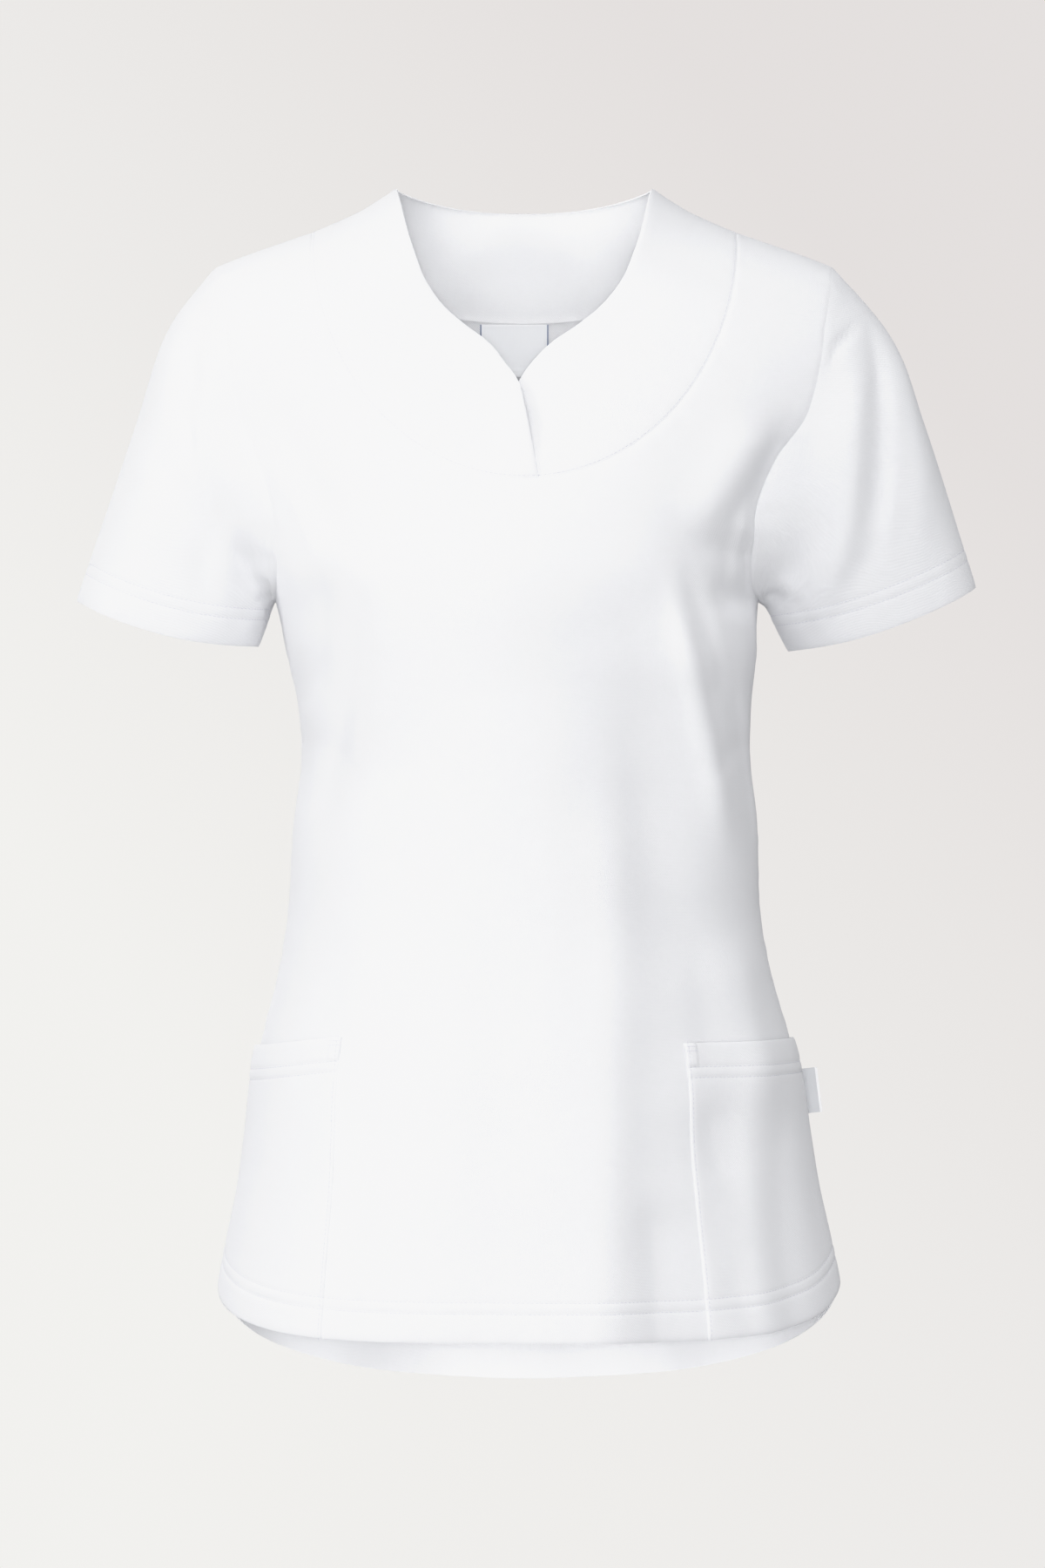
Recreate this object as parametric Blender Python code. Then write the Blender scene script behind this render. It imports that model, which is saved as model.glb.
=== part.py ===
"""A white short-sleeved work tunic in pique knit, filled out as on a form that does not show.

Lengths are in metres and tables in millimetres. +Z is up, the front faces -Y and +X is the wearer's
left. The origin is on the centre line at the middle height of the shoulder seams.

Every panel is a wall through rows and columns of points on one shared form:
  body_form  a torso section at each height, rounded over into the shoulder ridge
  Sleeve     rings from the armhole out to the cuff
Panels that are sewn together share the samples of their seam, and each one stops half a gap short.
"""

import math

import bmesh
import bpy
import numpy as np

MM = 0.001
QUARTER = math.pi / 2

# Driving sizes
GAP = 0.3 * MM  # between two panels at a seam
CLOTH = 1.5 * MM  # wall of a body panel or sleeve
HEM_CLOTH = 2.4 * MM  # wall where a hem is turned up
YOKE_CLOTH = 1.6 * MM  # wall of the double yoke
POCKET_CLOTH = 1.3 * MM
LABEL_CLOTH = 0.8 * MM
HEM_DEPTH = 25 * MM
SHOULDER_ROUND = 75 * MM  # height over which the chest rounds into the shoulder ridge
SIDE_HEM_Z = -666 * MM  # hem height at the side seams
FRONT_HEM_DROP = 28 * MM
BACK_HEM_DROP = 70 * MM
ARMPIT_Z = -237 * MM
YOKE_HALF_WIDTH = 134 * MM
YOKE_CENTRE_Z = -5 * MM
YOKE_FRONT_DEPTH = 158 * MM
YOKE_BACK_DEPTH = 49.5 * MM
YOKE_BASE_X = 60 * MM  # the yoke's lowest stretch reaches this far to each side
SHOULDER_TIP_X = 195 * MM
NECK_POINT_X = 81 * MM
HEM_ROUNDING = 0.05  # rounds the hem over its highest points, as a share of the depth
BACK_NECK_Z = 14 * MM
SEAM_FORWARD = 10 * MM  # how far the shoulder seam lies in front of the ridge at the yoke
NECK_FORWARD = 1.5 * MM
TIP_FORWARD = 4 * MM
RIDGE_AT_NECK = 25 * MM
CHEST_SAG = {"front": 36 * MM, "back": 74 * MM}  # of the row that joins straps to the rest
POCKET_MOUTH_Z = -500 * MM
POCKET_MOUTH_FALL = 20 * MM  # how much lower the mouth is at the side seam

# How many steps each stretch of cloth is divided into
ARMHOLE_STEPS = 11  # from the armpit to the shoulder tip, and down the yoke's side
SHOULDER_STEPS = 9  # from the shoulder tip to the yoke
YOKE_BASE_STEPS = 5  # half of the yoke's lowest stretch
YOKE_ROWS = 5
HEM_ROWS = 2
POCKET_ROWS = 5
BODY_ROWS = 14
STRAP_SMOOTHING = 4  # passes that even out the net between armhole and yoke
SLEEVE_ALONG = np.array([0, 0.06, 0.14, 0.25, 0.38, 0.52, 0.66, 0.78, 0.89, 1])
SLEEVE_HEM_FROM = 0.88

# The torso's half sections. Above the armpit the width runs on past the armhole.
BODY = (
    ("height", "half_width", "front_depth", "back_depth"),
    (-745, 209, 136, 130),
    (-670, 195.8, 133, 124),
    (-637, 189.4, 131, 121),
    (-604, 182.4, 130, 117),
    (-571, 177.5, 127.5, 113),
    (-538, 173, 125, 108),
    (-505, 165, 123, 102),
    (-472, 156, 122.5, 96),
    (-439, 150, 122.5, 90),
    (-373, 146, 124, 84),
    (-335, 141.5, 126, 84),
    (-300, 143, 128.5, 89),
    (-270, 148, 131, 94),
    (-237, 152.5, 132, 99),
    (-218, 159.5, 130, 102),
    (-200, 166.5, 126, 103),
    (-177, 178, 119.5, 102.5),
    (-150, 194, 111, 101),
    (-100, 226, 93, 95),
    (-60, 245, 80, 86),
    (-30, 255, 72, 77),
    (0, 262, 66, 66),
    (70, 268, 60, 56),
)

# How far the middle of a section stands off the centre line, towards the wearer's left
SWING = (
    ("height", "shift"),
    (-745, 3.6),
    (-670, 3.3),
    (-560, 2.0),
    (-450, 0),
    (-300, 0),
    (-272, -1.5),
    (-237, -4.5),
    (-160, -3),
    (-100, 0),
    (70, 0),
)

# The shoulder ridge, carried on over the neck where no cloth is
RIDGE = (
    ("across", "height"),
    (0, 100),
    (40, 64),
    (60, 45),
    (81, 25),
    (101, 12),
    (131, -1),
    (159, -11),
    (186, -21),
    (200, -27),
    (230, -40),
)

# The armhole seen from the front and from the back, from the shoulder tip to the armpit
ARMHOLE = (
    ("height", "front", "back"),
    (-62, 187.5, 189),
    (-87, 185, 185),
    (-120, 178, 178),
    (-148, 165, 170),
    (-177, 154, 160),
    (-198, 150.5, 154.5),
    (-218, 149.8, 152),
    (-231, 150.8, 151.3),
    (-237, 152.5, 152.5),
)

# The neck edge of the two front yoke halves. The over half is the wearer's right one.
NECK_EDGE = (
    ("height", "over", "under"),
    (25, -81, 81),
    (-18, -69, 69),
    (-40, -60, 59),
    (-55, -49, 46.5),
    (-66, -36.5, 33),
    (-77, -22, 17),
    (-90, -12, 4),
    (-101, -4.3, -3.5),
    (-118, 0.4, -8),
    (-139, 4.3, -11),
    (-161, 8.7, -13.5),
)
NOTCH_Z = -101 * MM  # where the two halves cross
SEAM_END_Z = -161 * MM  # where each half's edge ends in the yoke seam
OVER_END_X = 8.7 * MM
UNDER_END_X = -13.5 * MM
LAP_LIFT = 1.2 * MM  # the halves part by this much each way where they lap
LAP_GAPE = 2.2 * MM  # and by this much more halfway down the slit

# Sleeve rings: outer end and underarm end of each ring seen from the front, and its half depth
SLEEVE_RINGS = {
    "left": (
        ("along", "outer_x", "outer_z", "under_x", "under_z", "half_depth"),
        (0.28, 228, -65, 152.5, -240, 59),
        (0.58, 252, -124, 158, -251, 56),
        (1.00, 285, -227, 166.7, -267.5, 46),
    ),
    "right": (
        ("along", "outer_x", "outer_z", "under_x", "under_z", "half_depth"),
        (0.28, 225, -65, 159.5, -240, 59),
        (0.58, 246, -127, 162.5, -250, 56),
        (1.00, 282.7, -235.5, 167.8, -264.6, 46),
    ),
}
CUFF_FRONT_DROP = 8 * MM

# The inner edge of each pocket, as an angle round the section
POCKETS = {
    "left": {"mouth_angle": 36.0, "hem_angle": 34.0, "mouth_drop": 4 * MM, "gape": 1.2 * MM},
    "right": {"mouth_angle": 43.5, "hem_angle": 40.0, "mouth_drop": 0.0, "gape": 2.0 * MM},
}

# The labels, both blank
LABEL_NECK = {"from_x": -28.4, "to_x": 15.6, "top_z": -55.2, "bottom_z": -85.5, "hang": 2.5}
LABEL_SIDE = (
    ("height", "tip_x", "lean"),
    (-531, 184.5, 1.5),
    (-540, 185.6, 1.8),
    (-549, 186.8, 2.0),
    (-559, 188.0, 2.2),
)
LABEL_SIDE_TILT = 0.12

# The largest soft folds: a line seen from the front or back, its half breadth and its height
# off the cloth. A negative height is a trough.
FOLD_NAMES = ("side", "x0", "z0", "x1", "z1", "breadth", "height")
FOLDS = (
    ("front", 64, -262, 84, -455, 24, -4.0),
    ("front", 84, -455, 92, -700, 28, -4.5),
    ("front", 82, -206, 133, -418, 15, 5.0),
    ("front", 98, -185, 148, -438, 34, 4.0),
    ("front", 144, -190, 128, -252, 14, -4.0),
    ("front", -98, -216, -136, -405, 17, -3.5),
    ("front", -118, -210, -138, -310, 14, -3.0),
    ("front", 178, -124, 106, -218, 14, -4.0),
    ("front", -172, -100, -110, -215, 15, -2.5),
    ("front", -60, -440, -52, -700, 40, 3.0),
    ("front", 30, -430, 28, -700, 30, 3.0),
    ("back", 60, -150, 78, -360, 30, -4.5),
    ("back", -52, -160, -74, -350, 32, -4.0),
    ("back", 0, -400, 6, -740, 38, -6.0),
    ("back", 105, -430, 128, -715, 30, -5.0),
    ("back", -98, -420, -124, -715, 30, -5.0),
    ("back", 50, -420, 60, -730, 28, 4.0),
    ("back", -48, -420, -58, -730, 28, 4.0),
    ("back", 0, -250, 95, -345, 18, 2.5),
    ("back", 4, -262, -92, -352, 18, 2.5),
)

SLEEVE_FOLD_NAMES = ("round0", "along0", "round1", "along1", "breadth", "height")
SLEEVE_FOLDS = {
    "left": (
        (-44, 0.06, -84, 0.36, 13, -5.0),
        (-74, 0.24, -66, 0.90, 13, -5.0),
        (-42, 0.20, -40, 0.98, 20, 5.5),
        (-146, 0.20, -118, 0.75, 14, -4.0),
        (150, 0.10, 112, 0.70, 16, -4.0),
        (40, 0.20, 62, 0.95, 18, -4.5),
        (84, 0.30, 88, 0.98, 20, 3.0),
    ),
    "right": (
        (-46, 0.12, -72, 0.50, 13, -4.5),
        (-84, 0.35, -112, 0.90, 14, -4.0),
        (-60, 0.50, -52, 0.98, 18, 3.0),
        (-146, 0.20, -124, 0.70, 14, -3.5),
        (150, 0.10, 118, 0.70, 16, -4.0),
        (44, 0.20, 58, 0.95, 18, -4.5),
        (88, 0.30, 92, 0.98, 20, 3.0),
    ),
}

WHITE = (0.86, 0.87, 0.89)
LABEL_WHITE = (0.90, 0.90, 0.91)


# Reading tables and smooth curves


def column(table, name):
    """One named column of a table whose first row names its columns."""
    place = table[0].index(name)
    return np.array([row[place] for row in table[1:]], float)


def curve(at, knots, values):
    """A smooth curve through the values at their knots."""
    at = np.clip(np.asarray(at, float), knots[0], knots[-1])
    slope = np.gradient(values, knots)
    i = np.clip(np.searchsorted(knots, at, side="right") - 1, 0, len(knots) - 2)
    span = knots[i + 1] - knots[i]
    t = (at - knots[i]) / span
    rise = values[i] * (1 + 2 * t) * (1 - t) ** 2 + values[i + 1] * t * t * (3 - 2 * t)
    lean = slope[i] * t * (1 - t) ** 2 - slope[i + 1] * t * t * (1 - t)
    return rise + lean * span


def read(table, name, at, along="height"):
    """A named column in metres, at places in metres along another column."""
    knots, values = column(table, along), column(table, name)
    if knots[0] > knots[-1]:
        knots, values = knots[::-1], values[::-1]
    return curve(np.asarray(at) / MM, knots, values) * MM


def ease(t):
    """Rises smoothly from 0 to 1."""
    t = np.clip(t, 0, 1)
    return t * t * (3 - 2 * t)


def unit(v):
    return v / np.maximum(np.linalg.norm(v, axis=-1, keepdims=True), 1e-12)


# The body's form. A place on it is its angle round the section, 0 at the centre and a quarter
# turn at each side seam, and its reach, which is the height up to where the shoulder rounds over
# and the distance along the curve from there on.


def ridge(x):
    return read(RIDGE, "height", np.abs(x), "across")


def fold_height(side, x, z):
    """How far the soft folds lift the cloth here."""
    total = np.zeros(np.broadcast(x, z).shape)
    for row in FOLDS:
        fold = dict(zip(FOLD_NAMES, row))
        if fold["side"] != side:
            continue
        start = np.array([fold["x0"], fold["z0"]]) * MM
        run = np.array([fold["x1"], fold["z1"]]) * MM - start
        length = np.hypot(*run)
        along = ((x - start[0]) * run[0] + (z - start[1]) * run[1]) / length
        off = ((x - start[0]) * run[1] - (z - start[1]) * run[0]) / length
        fade = ease(along / (0.35 * length)) * ease((length - along) / (0.35 * length))
        end_fade = np.where(fold["z1"] < -690, ease(along / (0.35 * length)), fade)
        total += fold["height"] * MM * np.exp(-((off / (fold["breadth"] * MM)) ** 2)) * end_fade
    return total


def body_form(side, angle, reach):
    """The cloth's outer face at an angle and a reach, on the front or the back."""
    angle, reach = np.broadcast_arrays(np.asarray(angle, float), np.asarray(reach, float))
    wide = read(BODY, "half_width", reach)
    x = read(SWING, "shift", reach) + wide * np.sin(angle)
    top = ridge(x)
    turn = np.clip((reach - (top - SHOULDER_ROUND)) / SHOULDER_ROUND, 0, QUARTER)
    z = np.where(turn > 0, top - SHOULDER_ROUND * (1 - np.sin(turn)), reach)
    deep = read(BODY, side + "_depth", z)
    facing = -1 if side == "front" else 1
    y = facing * deep * np.cos(angle) * np.cos(turn)
    out = np.stack([np.sin(angle) * deep, facing * np.cos(angle) * wide], -1)
    out = unit(out) * (fold_height(side, x, z) * np.cos(turn) * seam_calm(angle, z))[..., None]
    return np.stack([x + out[..., 0], y + out[..., 1], z], -1)


def seam_calm(angle, z):
    """Holds folds down at the side seams, where front and back share the cloth's edge."""
    return ease((QUARTER - np.abs(angle)) / 0.25) * ease(-z / (60 * MM))


def place_of(x, z):
    """The angle and reach of a point seen from the front."""
    x, z = np.broadcast_arrays(np.asarray(x, float), np.asarray(z, float))
    below = np.clip((ridge(x) - z) / SHOULDER_ROUND, 0, 1)
    over = ridge(x) - SHOULDER_ROUND + SHOULDER_ROUND * np.arcsin(1 - below)
    reach = np.where(below < 1, over, z)
    share = (x - read(SWING, "shift", reach)) / read(BODY, "half_width", reach)
    return np.stack([np.arcsin(np.clip(share, -1, 1)), reach], -1)


def normals_of(form, places, step=(1e-4, 1e-5)):
    """The outward direction of a form at places, from its slopes."""
    a, b = places[..., 0], places[..., 1]
    da = form(a + step[0], b) - form(a - step[0], b)
    db = form(a, b + step[1]) - form(a, b - step[1])
    return unit(np.cross(da, db))


def body_normals(side, places):
    held = places.copy()
    held[..., 0] = np.clip(held[..., 0], -QUARTER + 2e-3, QUARTER - 2e-3)
    found = normals_of(lambda a, h: body_form(side, a, h), held)
    return found if side == "front" else -found


# Seams: the samples that two panels share


class Seam:
    """Samples along a seam, their shared outward directions, and the way across the seam."""

    def __init__(self, points, normals, closed=False):
        self.points = points
        self.normals = normals
        self.mitre = np.ones(len(points))
        if closed:
            run = np.roll(points, -1, axis=0) - np.roll(points, 1, axis=0)
        else:
            run = np.gradient(points, axis=0)
        self.across = unit(np.cross(normals, run))

    def pick(self, samples):
        """Some of the samples, in the order asked for."""
        piece = Seam(self.points[samples], self.normals[samples])
        piece.mitre = self.mitre[samples]
        piece.across = self.across[samples]
        return piece

    def match_end(self, end, other, sample):
        """Takes one end's point and outward direction from the seam that it meets there."""
        self.points[end] = other.points[sample]
        self.normals[end] = other.normals[sample]
        self.mitre[end] = other.mitre[sample]


def spread(places, side, count):
    """Places at even steps of real length along a fine line of places."""
    solid = body_form(side, places[:, 0], places[:, 1])
    steps = np.linalg.norm(np.diff(solid, axis=0), axis=1)
    gone = np.concatenate([[0], np.cumsum(steps)])
    want = np.linspace(0, gone[-1], count + 1)
    return np.stack([np.interp(want, gone, places[:, k]) for k in (0, 1)], -1)


def shoulder_place(x, forward):
    """A place on the front form a given distance in front of the ridge."""
    deep = read(BODY, "front_depth", ridge(x))
    flat = place_of(x, ridge(x))
    turn = np.arccos(np.clip(forward / (deep * np.cos(flat[..., 0])), 0, 1))
    reach = ridge(x) - SHOULDER_ROUND + SHOULDER_ROUND * turn
    share = (x - read(SWING, "shift", reach)) / read(BODY, "half_width", reach)
    return np.stack([np.arcsin(share), reach], -1)


def under_ridge(x):
    """A place on the back form just short of the ridge."""
    return place_of(x, ridge(x) - 0.2 * MM)


def armhole_places(side, sign):
    """Places along one armhole, from the armpit up to the shoulder tip."""
    rows = np.arange(len(ARMHOLE) - 1, dtype=float)
    fine = np.linspace(rows[-1], 0, 300)
    z = curve(fine, rows, column(ARMHOLE, "height")) * MM
    x = curve(fine, rows, column(ARMHOLE, side)) * MM
    line = place_of(sign * x + read(SWING, "shift", z), z)
    line[0] = (sign * QUARTER, ARMPIT_Z)
    tip = sign * SHOULDER_TIP_X
    tip = shoulder_place(tip, TIP_FORWARD) if side == "front" else under_ridge(tip)
    return spread(np.concatenate([line, tip[None]]), side, ARMHOLE_STEPS)


def yoke_turns():
    """Where the yoke seam's samples lie on its half ellipse, from the wearer's right.

    Two of them are where the front halves end: the under half's, then the over half's.
    """
    under = math.asin(UNDER_END_X / YOKE_HALF_WIDTH)
    over = math.asin(OVER_END_X / YOKE_HALF_WIDTH)
    base = math.asin(YOKE_BASE_X / YOKE_HALF_WIDTH)
    stretches = [
        np.linspace(-QUARTER, -base, ARMHOLE_STEPS + 1)[:-1],
        np.linspace(-base, under, YOKE_BASE_STEPS),
        [(under + over) / 2],
        np.linspace(over, base, YOKE_BASE_STEPS),
        np.linspace(base, QUARTER, ARMHOLE_STEPS + 1)[1:],
    ]
    return np.concatenate(stretches)


YOKE_STEPS = ARMHOLE_STEPS + YOKE_BASE_STEPS  # from the shoulder seam to the centre
UNDER_END = YOKE_STEPS - 1
OVER_END = YOKE_STEPS + 1


def yoke_places(side):
    """Places along the yoke seam, from the wearer's right shoulder round to the left one."""
    turns = yoke_turns()
    depth = YOKE_FRONT_DEPTH if side == "front" else YOKE_BACK_DEPTH
    places = place_of(YOKE_HALF_WIDTH * np.sin(turns), YOKE_CENTRE_Z - depth * np.cos(turns))
    for end, sign in ((0, -1), (-1, 1)):
        x = sign * YOKE_HALF_WIDTH
        places[end] = shoulder_place(x, SEAM_FORWARD) if side == "front" else under_ridge(x)
    return places


def shoulder_places(side, sign, near, far, steps, forward):
    """Places along a stretch of shoulder seam, from the neck side outwards."""
    x = sign * np.linspace(near, far, steps + 1)
    if side == "back":
        return under_ridge(x)
    return shoulder_place(x, np.linspace(forward[0], forward[1], steps + 1))


def outer_shoulder(side, sign):
    forward = (SEAM_FORWARD, TIP_FORWARD)
    return shoulder_places(side, sign, YOKE_HALF_WIDTH, SHOULDER_TIP_X, SHOULDER_STEPS, forward)


def yoke_shoulder(side, sign):
    """Places along the yoke's own shoulder seam, from the yoke seam in to the neck."""
    forward = (SEAM_FORWARD, NECK_FORWARD)
    return shoulder_places(side, sign, YOKE_HALF_WIDTH, NECK_POINT_X, YOKE_ROWS, forward)


def seam_on(side, places):
    return Seam(body_form(side, places[:, 0], places[:, 1]), body_normals(side, places))


# Sleeves


class Sleeve:
    """A sleeve's form: from the armhole loop through its rings to the cuff."""

    def __init__(self, name, loop):
        self.name = name
        self.sign = 1 if name == "left" else -1
        self.loop = loop  # armhole points: tip, down the front, armpit, and up the back
        steps = np.linalg.norm(np.roll(loop, -1, axis=0) - loop, axis=1)
        front = np.concatenate([[0], np.cumsum(steps[:ARMHOLE_STEPS])])
        back = np.concatenate([[0], np.cumsum(steps[ARMHOLE_STEPS:])])
        turns = np.concatenate([front / front[-1], 1 + back[1:-1] / back[-1]])
        self.turns = -math.pi * turns
        self.table = SLEEVE_RINGS[name]

    def ring(self, row):
        """The points of one ring of the table, one for each armhole sample."""
        ring = dict(zip(self.table[0], row))
        outer = np.array([self.sign * ring["outer_x"], 0, ring["outer_z"]]) * MM
        under = np.array([self.sign * ring["under_x"], 0, ring["under_z"]]) * MM
        across, forward = np.cos(self.turns), np.sin(self.turns)
        points = (outer + under) / 2 + across[:, None] * (outer - under) / 2
        points[:, 1] += ring["half_depth"] * MM * forward
        if ring["along"] == 1:
            points[:, 2] -= CUFF_FRONT_DROP * np.clip(-forward, 0, 1) ** 2
        return points

    def rows(self, along):
        """Rows of points at shares of the way from armhole to cuff, folds and all."""
        knots = np.concatenate([[0], column(self.table, "along")])
        stack = np.stack([self.loop] + [self.ring(row) for row in self.table[1:]])
        flat = stack.reshape(len(knots), -1)
        smooth = np.stack([curve(along, knots, flat[:, k]) for k in range(flat.shape[1])], -1)
        rows = smooth.reshape(len(along), -1, 3)
        lift = np.array([self.fold(share) for share in along])
        return rows + tube_normals(rows) * lift[..., None]

    def fold(self, along):
        """How far the soft folds lift the sleeve at this share of its length."""
        total = np.zeros(len(self.turns))
        place = np.degrees(self.turns)
        for row in SLEEVE_FOLDS[self.name]:
            fold = dict(zip(SLEEVE_FOLD_NAMES, row))
            share = (along - fold["along0"]) / (fold["along1"] - fold["along0"])
            middle = fold["round0"] + (fold["round1"] - fold["round0"]) * share
            off = (place - middle + 180) % 360 - 180
            fade = ease(share / 0.35) * ease(along / 0.08)
            if fold["along1"] < 0.95:
                fade = fade * ease((1 - share) / 0.35)
            total += fold["height"] * MM * np.exp(-((off / fold["breadth"]) ** 2)) * fade
        return total


def tube_normals(rows):
    """Outward directions on rows of points that close round a tube."""
    round_way = np.roll(rows, -1, axis=1) - np.roll(rows, 1, axis=1)
    found = unit(np.cross(round_way, np.gradient(rows, axis=0)))
    outward = rows - rows.mean(axis=1, keepdims=True)
    return found * np.sign((outward * found).sum())


# Walls and objects


def material(name, colour, roughness):
    mat = bpy.data.materials.new(name)
    mat.use_nodes = True
    shader = mat.node_tree.nodes["Principled BSDF"]
    shader.inputs["Base Color"].default_value = (*colour, 1)
    shader.inputs["Roughness"].default_value = roughness
    shader.inputs["Metallic"].default_value = 0.0
    return mat


def wall(name, outer, inner, faces, colour=WHITE, roughness=0.85):
    """A closed solid: an outer skin, an inner one, and a rim along every free edge."""
    count = len(outer)
    triangles = [t for a, b, c, d in faces for t in ((a, b, c), (a, c, d))]
    edges = {}
    for a, b, c in triangles:
        for edge in ((a, b), (b, c), (c, a)):
            edges[edge] = edges.get(edge, 0) + 1
    skin = [list(t) for t in triangles]
    skin += [[count + c, count + b, count + a] for a, b, c in triangles]
    for a, b in edges:
        if (b, a) not in edges:
            skin += [[b, a, count + a], [b, count + a, count + b]]
    mesh = bpy.data.meshes.new(name)
    mesh.from_pydata([tuple(p) for p in np.concatenate([outer, inner])], [], skin)
    work = bmesh.new()
    work.from_mesh(mesh)
    bmesh.ops.recalc_face_normals(work, faces=work.faces)
    work.to_mesh(mesh)
    work.free()
    mesh.shade_smooth()
    mesh.set_sharp_from_angle(angle=math.radians(40))
    obj = bpy.data.objects.new(name, mesh)
    bpy.context.collection.objects.link(obj)
    obj.data.materials.append(material(name, colour, roughness))
    return obj


def quads(net, closed=False):
    """The faces of a net of point numbers, by rows and columns."""
    if closed:
        net = np.concatenate([net, net[:, :1]], axis=1)
    rows, cols = net.shape
    return [
        (net[i, j], net[i, j + 1], net[i + 1, j + 1], net[i + 1, j])
        for i in range(rows - 1)
        for j in range(cols - 1)
    ]


def numbered(shape):
    return np.arange(shape[0] * shape[1]).reshape(shape)


class Panel:
    """The outer points, outward directions, edge shifts and faces of one panel."""

    def __init__(self, points, normals, faces):
        self.points = points.reshape(-1, 3).copy()
        self.normals = normals.reshape(-1, 3).copy()
        self.mitre = np.ones(len(self.points))
        self.shift = np.zeros(self.points.shape)
        self.faces = faces

    def sew(self, edge, inside, seam):
        """Puts an edge on a seam, half a gap back from it on the panel's own side."""
        self.points[edge] = seam.points
        self.normals[edge] = seam.normals
        self.mitre[edge] = seam.mitre
        toward = np.sign(((self.points[inside] - seam.points) * seam.across).sum())
        self.shift[edge] += toward * seam.across * GAP / 2

    def outer(self, lift=0.0):
        return self.points + self.normals * np.asarray(lift)[..., None] + self.shift

    def build(self, name, thick, lift=0.0):
        outer = self.outer(np.ravel(lift) if np.ndim(lift) else lift)
        depth = (np.ravel(thick) * self.mitre)[:, None]
        return wall(name, outer, outer - self.normals * depth, self.faces)


# The body panels


def between(first, last, shares):
    """Rows of places from one line of places to another."""
    return first[None] + (last - first)[None] * np.asarray(shares)[:, None, None]


def hem_z(side, angle):
    """The hem's height round the body: highest at the sides, lower in front, lowest behind."""
    inward = np.sqrt(np.cos(angle) ** 2 + HEM_ROUNDING**2) - HEM_ROUNDING
    if side == "front":
        return SIDE_HEM_Z - FRONT_HEM_DROP * (1 - np.clip(1 - inward / 0.85, 0, 1) ** 1.8)
    return SIDE_HEM_Z - BACK_HEM_DROP * (1 - np.clip(1 - inward / 0.95, 0, 1) ** 1.15)


def mouth_z(angle):
    """The height of the pocket mouths, carried on round the body as a row of points."""
    lower = POCKETS["left"]["mouth_drop"] * ease(angle / 0.5)
    return POCKET_MOUTH_Z - POCKET_MOUTH_FALL * np.sin(angle) ** 2 - lower


YOKE_AT = SHOULDER_STEPS  # the column where the yoke's lowest stretch begins
LAST = 2 * (SHOULDER_STEPS + YOKE_BASE_STEPS)
MOUTH_ROW = HEM_ROWS + POCKET_ROWS
ROWS = MOUTH_ROW + BODY_ROWS + 1
POCKET_COLUMN = {"right": 7, "left": LAST - 6}


def patch(bottom, top, left, right):
    """A net of places filled in between four lines of places."""
    u = np.linspace(0, 1, len(bottom))[None, :, None]
    v = np.linspace(0, 1, len(left))[:, None, None]
    across = left[:, None] * (1 - u) + right[:, None] * u
    along = bottom[None] * (1 - v) + top[None] * v
    corners = (bottom[0] * (1 - u) + bottom[-1] * u) * (1 - v)
    corners = corners + (top[0] * (1 - u) + top[-1] * u) * v
    return across + along - corners


def strap_places(side, sign):
    """The places between armhole and yoke: rows going up, columns from the armhole inwards."""
    hole = armhole_places(side, sign)
    yoke = yoke_places(side)
    yoke = yoke[ARMHOLE_STEPS::-1] if sign < 0 else yoke[-1 - ARMHOLE_STEPS :]
    shoulder = outer_shoulder(side, sign)[::-1]
    share = np.linspace(0, 1, SHOULDER_STEPS + 1)
    low = between(hole[:1], yoke[:1], share)[:, 0]
    low[:, 1] -= 4 * CHEST_SAG[side] * share * (1 - share)
    net = patch(low, shoulder, hole, yoke)
    for _ in range(STRAP_SMOOTHING):
        beside = net[1:-1, :-2] + net[1:-1, 2:]
        net[1:-1, 1:-1] = (net[:-2, 1:-1] + net[2:, 1:-1] + beside) / 4
    return net


def chest_line(side):
    """The upper edge of the panel's main part: armpit, yoke and armpit."""
    right, left = strap_places(side, -1)[0], strap_places(side, 1)[0]
    base = yoke_places(side)[ARMHOLE_STEPS : -ARMHOLE_STEPS]
    return np.concatenate([right[:-1], base, left[::-1][1:]])


def low_angles(top_angles, key):
    """Column angles lower down: nearly even, and exact at the pockets' inner edges."""
    mixed = 0.6 * np.linspace(-QUARTER, QUARTER, LAST + 1) + 0.4 * top_angles
    marks = [0, POCKET_COLUMN["right"], POCKET_COLUMN["left"], LAST]
    right, left = (math.radians(POCKETS[name][key]) for name in ("right", "left"))
    return np.interp(mixed, mixed[marks], [-QUARTER, -right, left, QUARTER])


def body_places(side):
    """Rows of places from the hem up to the chest line."""
    top = chest_line(side)
    mouth_angle = low_angles(top[:, 0], "mouth_angle")
    hem_angle = low_angles(top[:, 0], "hem_angle")
    hem = np.stack([hem_angle, hem_z(side, hem_angle)], -1)
    mouth = np.stack([mouth_angle, mouth_z(mouth_angle)], -1)
    share = HEM_DEPTH / (mouth[:, 1] - hem[:, 1])
    turned = hem + (mouth - hem) * share[:, None]
    rows = [
        between(hem, turned, np.linspace(0, 1, HEM_ROWS + 1)[:-1]),
        between(turned, mouth, np.linspace(0, 1, POCKET_ROWS + 1)[:-1]),
        between(mouth, top, np.linspace(0, 1, BODY_ROWS + 1)),
    ]
    return np.concatenate(rows)


def side_seam(sign):
    """The side seam's samples, from the hem to the armpit, shared by front and back."""
    column_at = 0 if sign < 0 else LAST
    places = body_places("front")[:, column_at]
    points = body_form("front", places[:, 0], places[:, 1])
    slope = np.gradient(points[:, 0], points[:, 2])
    normals = np.stack([np.full(len(points), sign), 0 * slope, -sign * slope], -1)
    return Seam(points, unit(normals))


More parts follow.
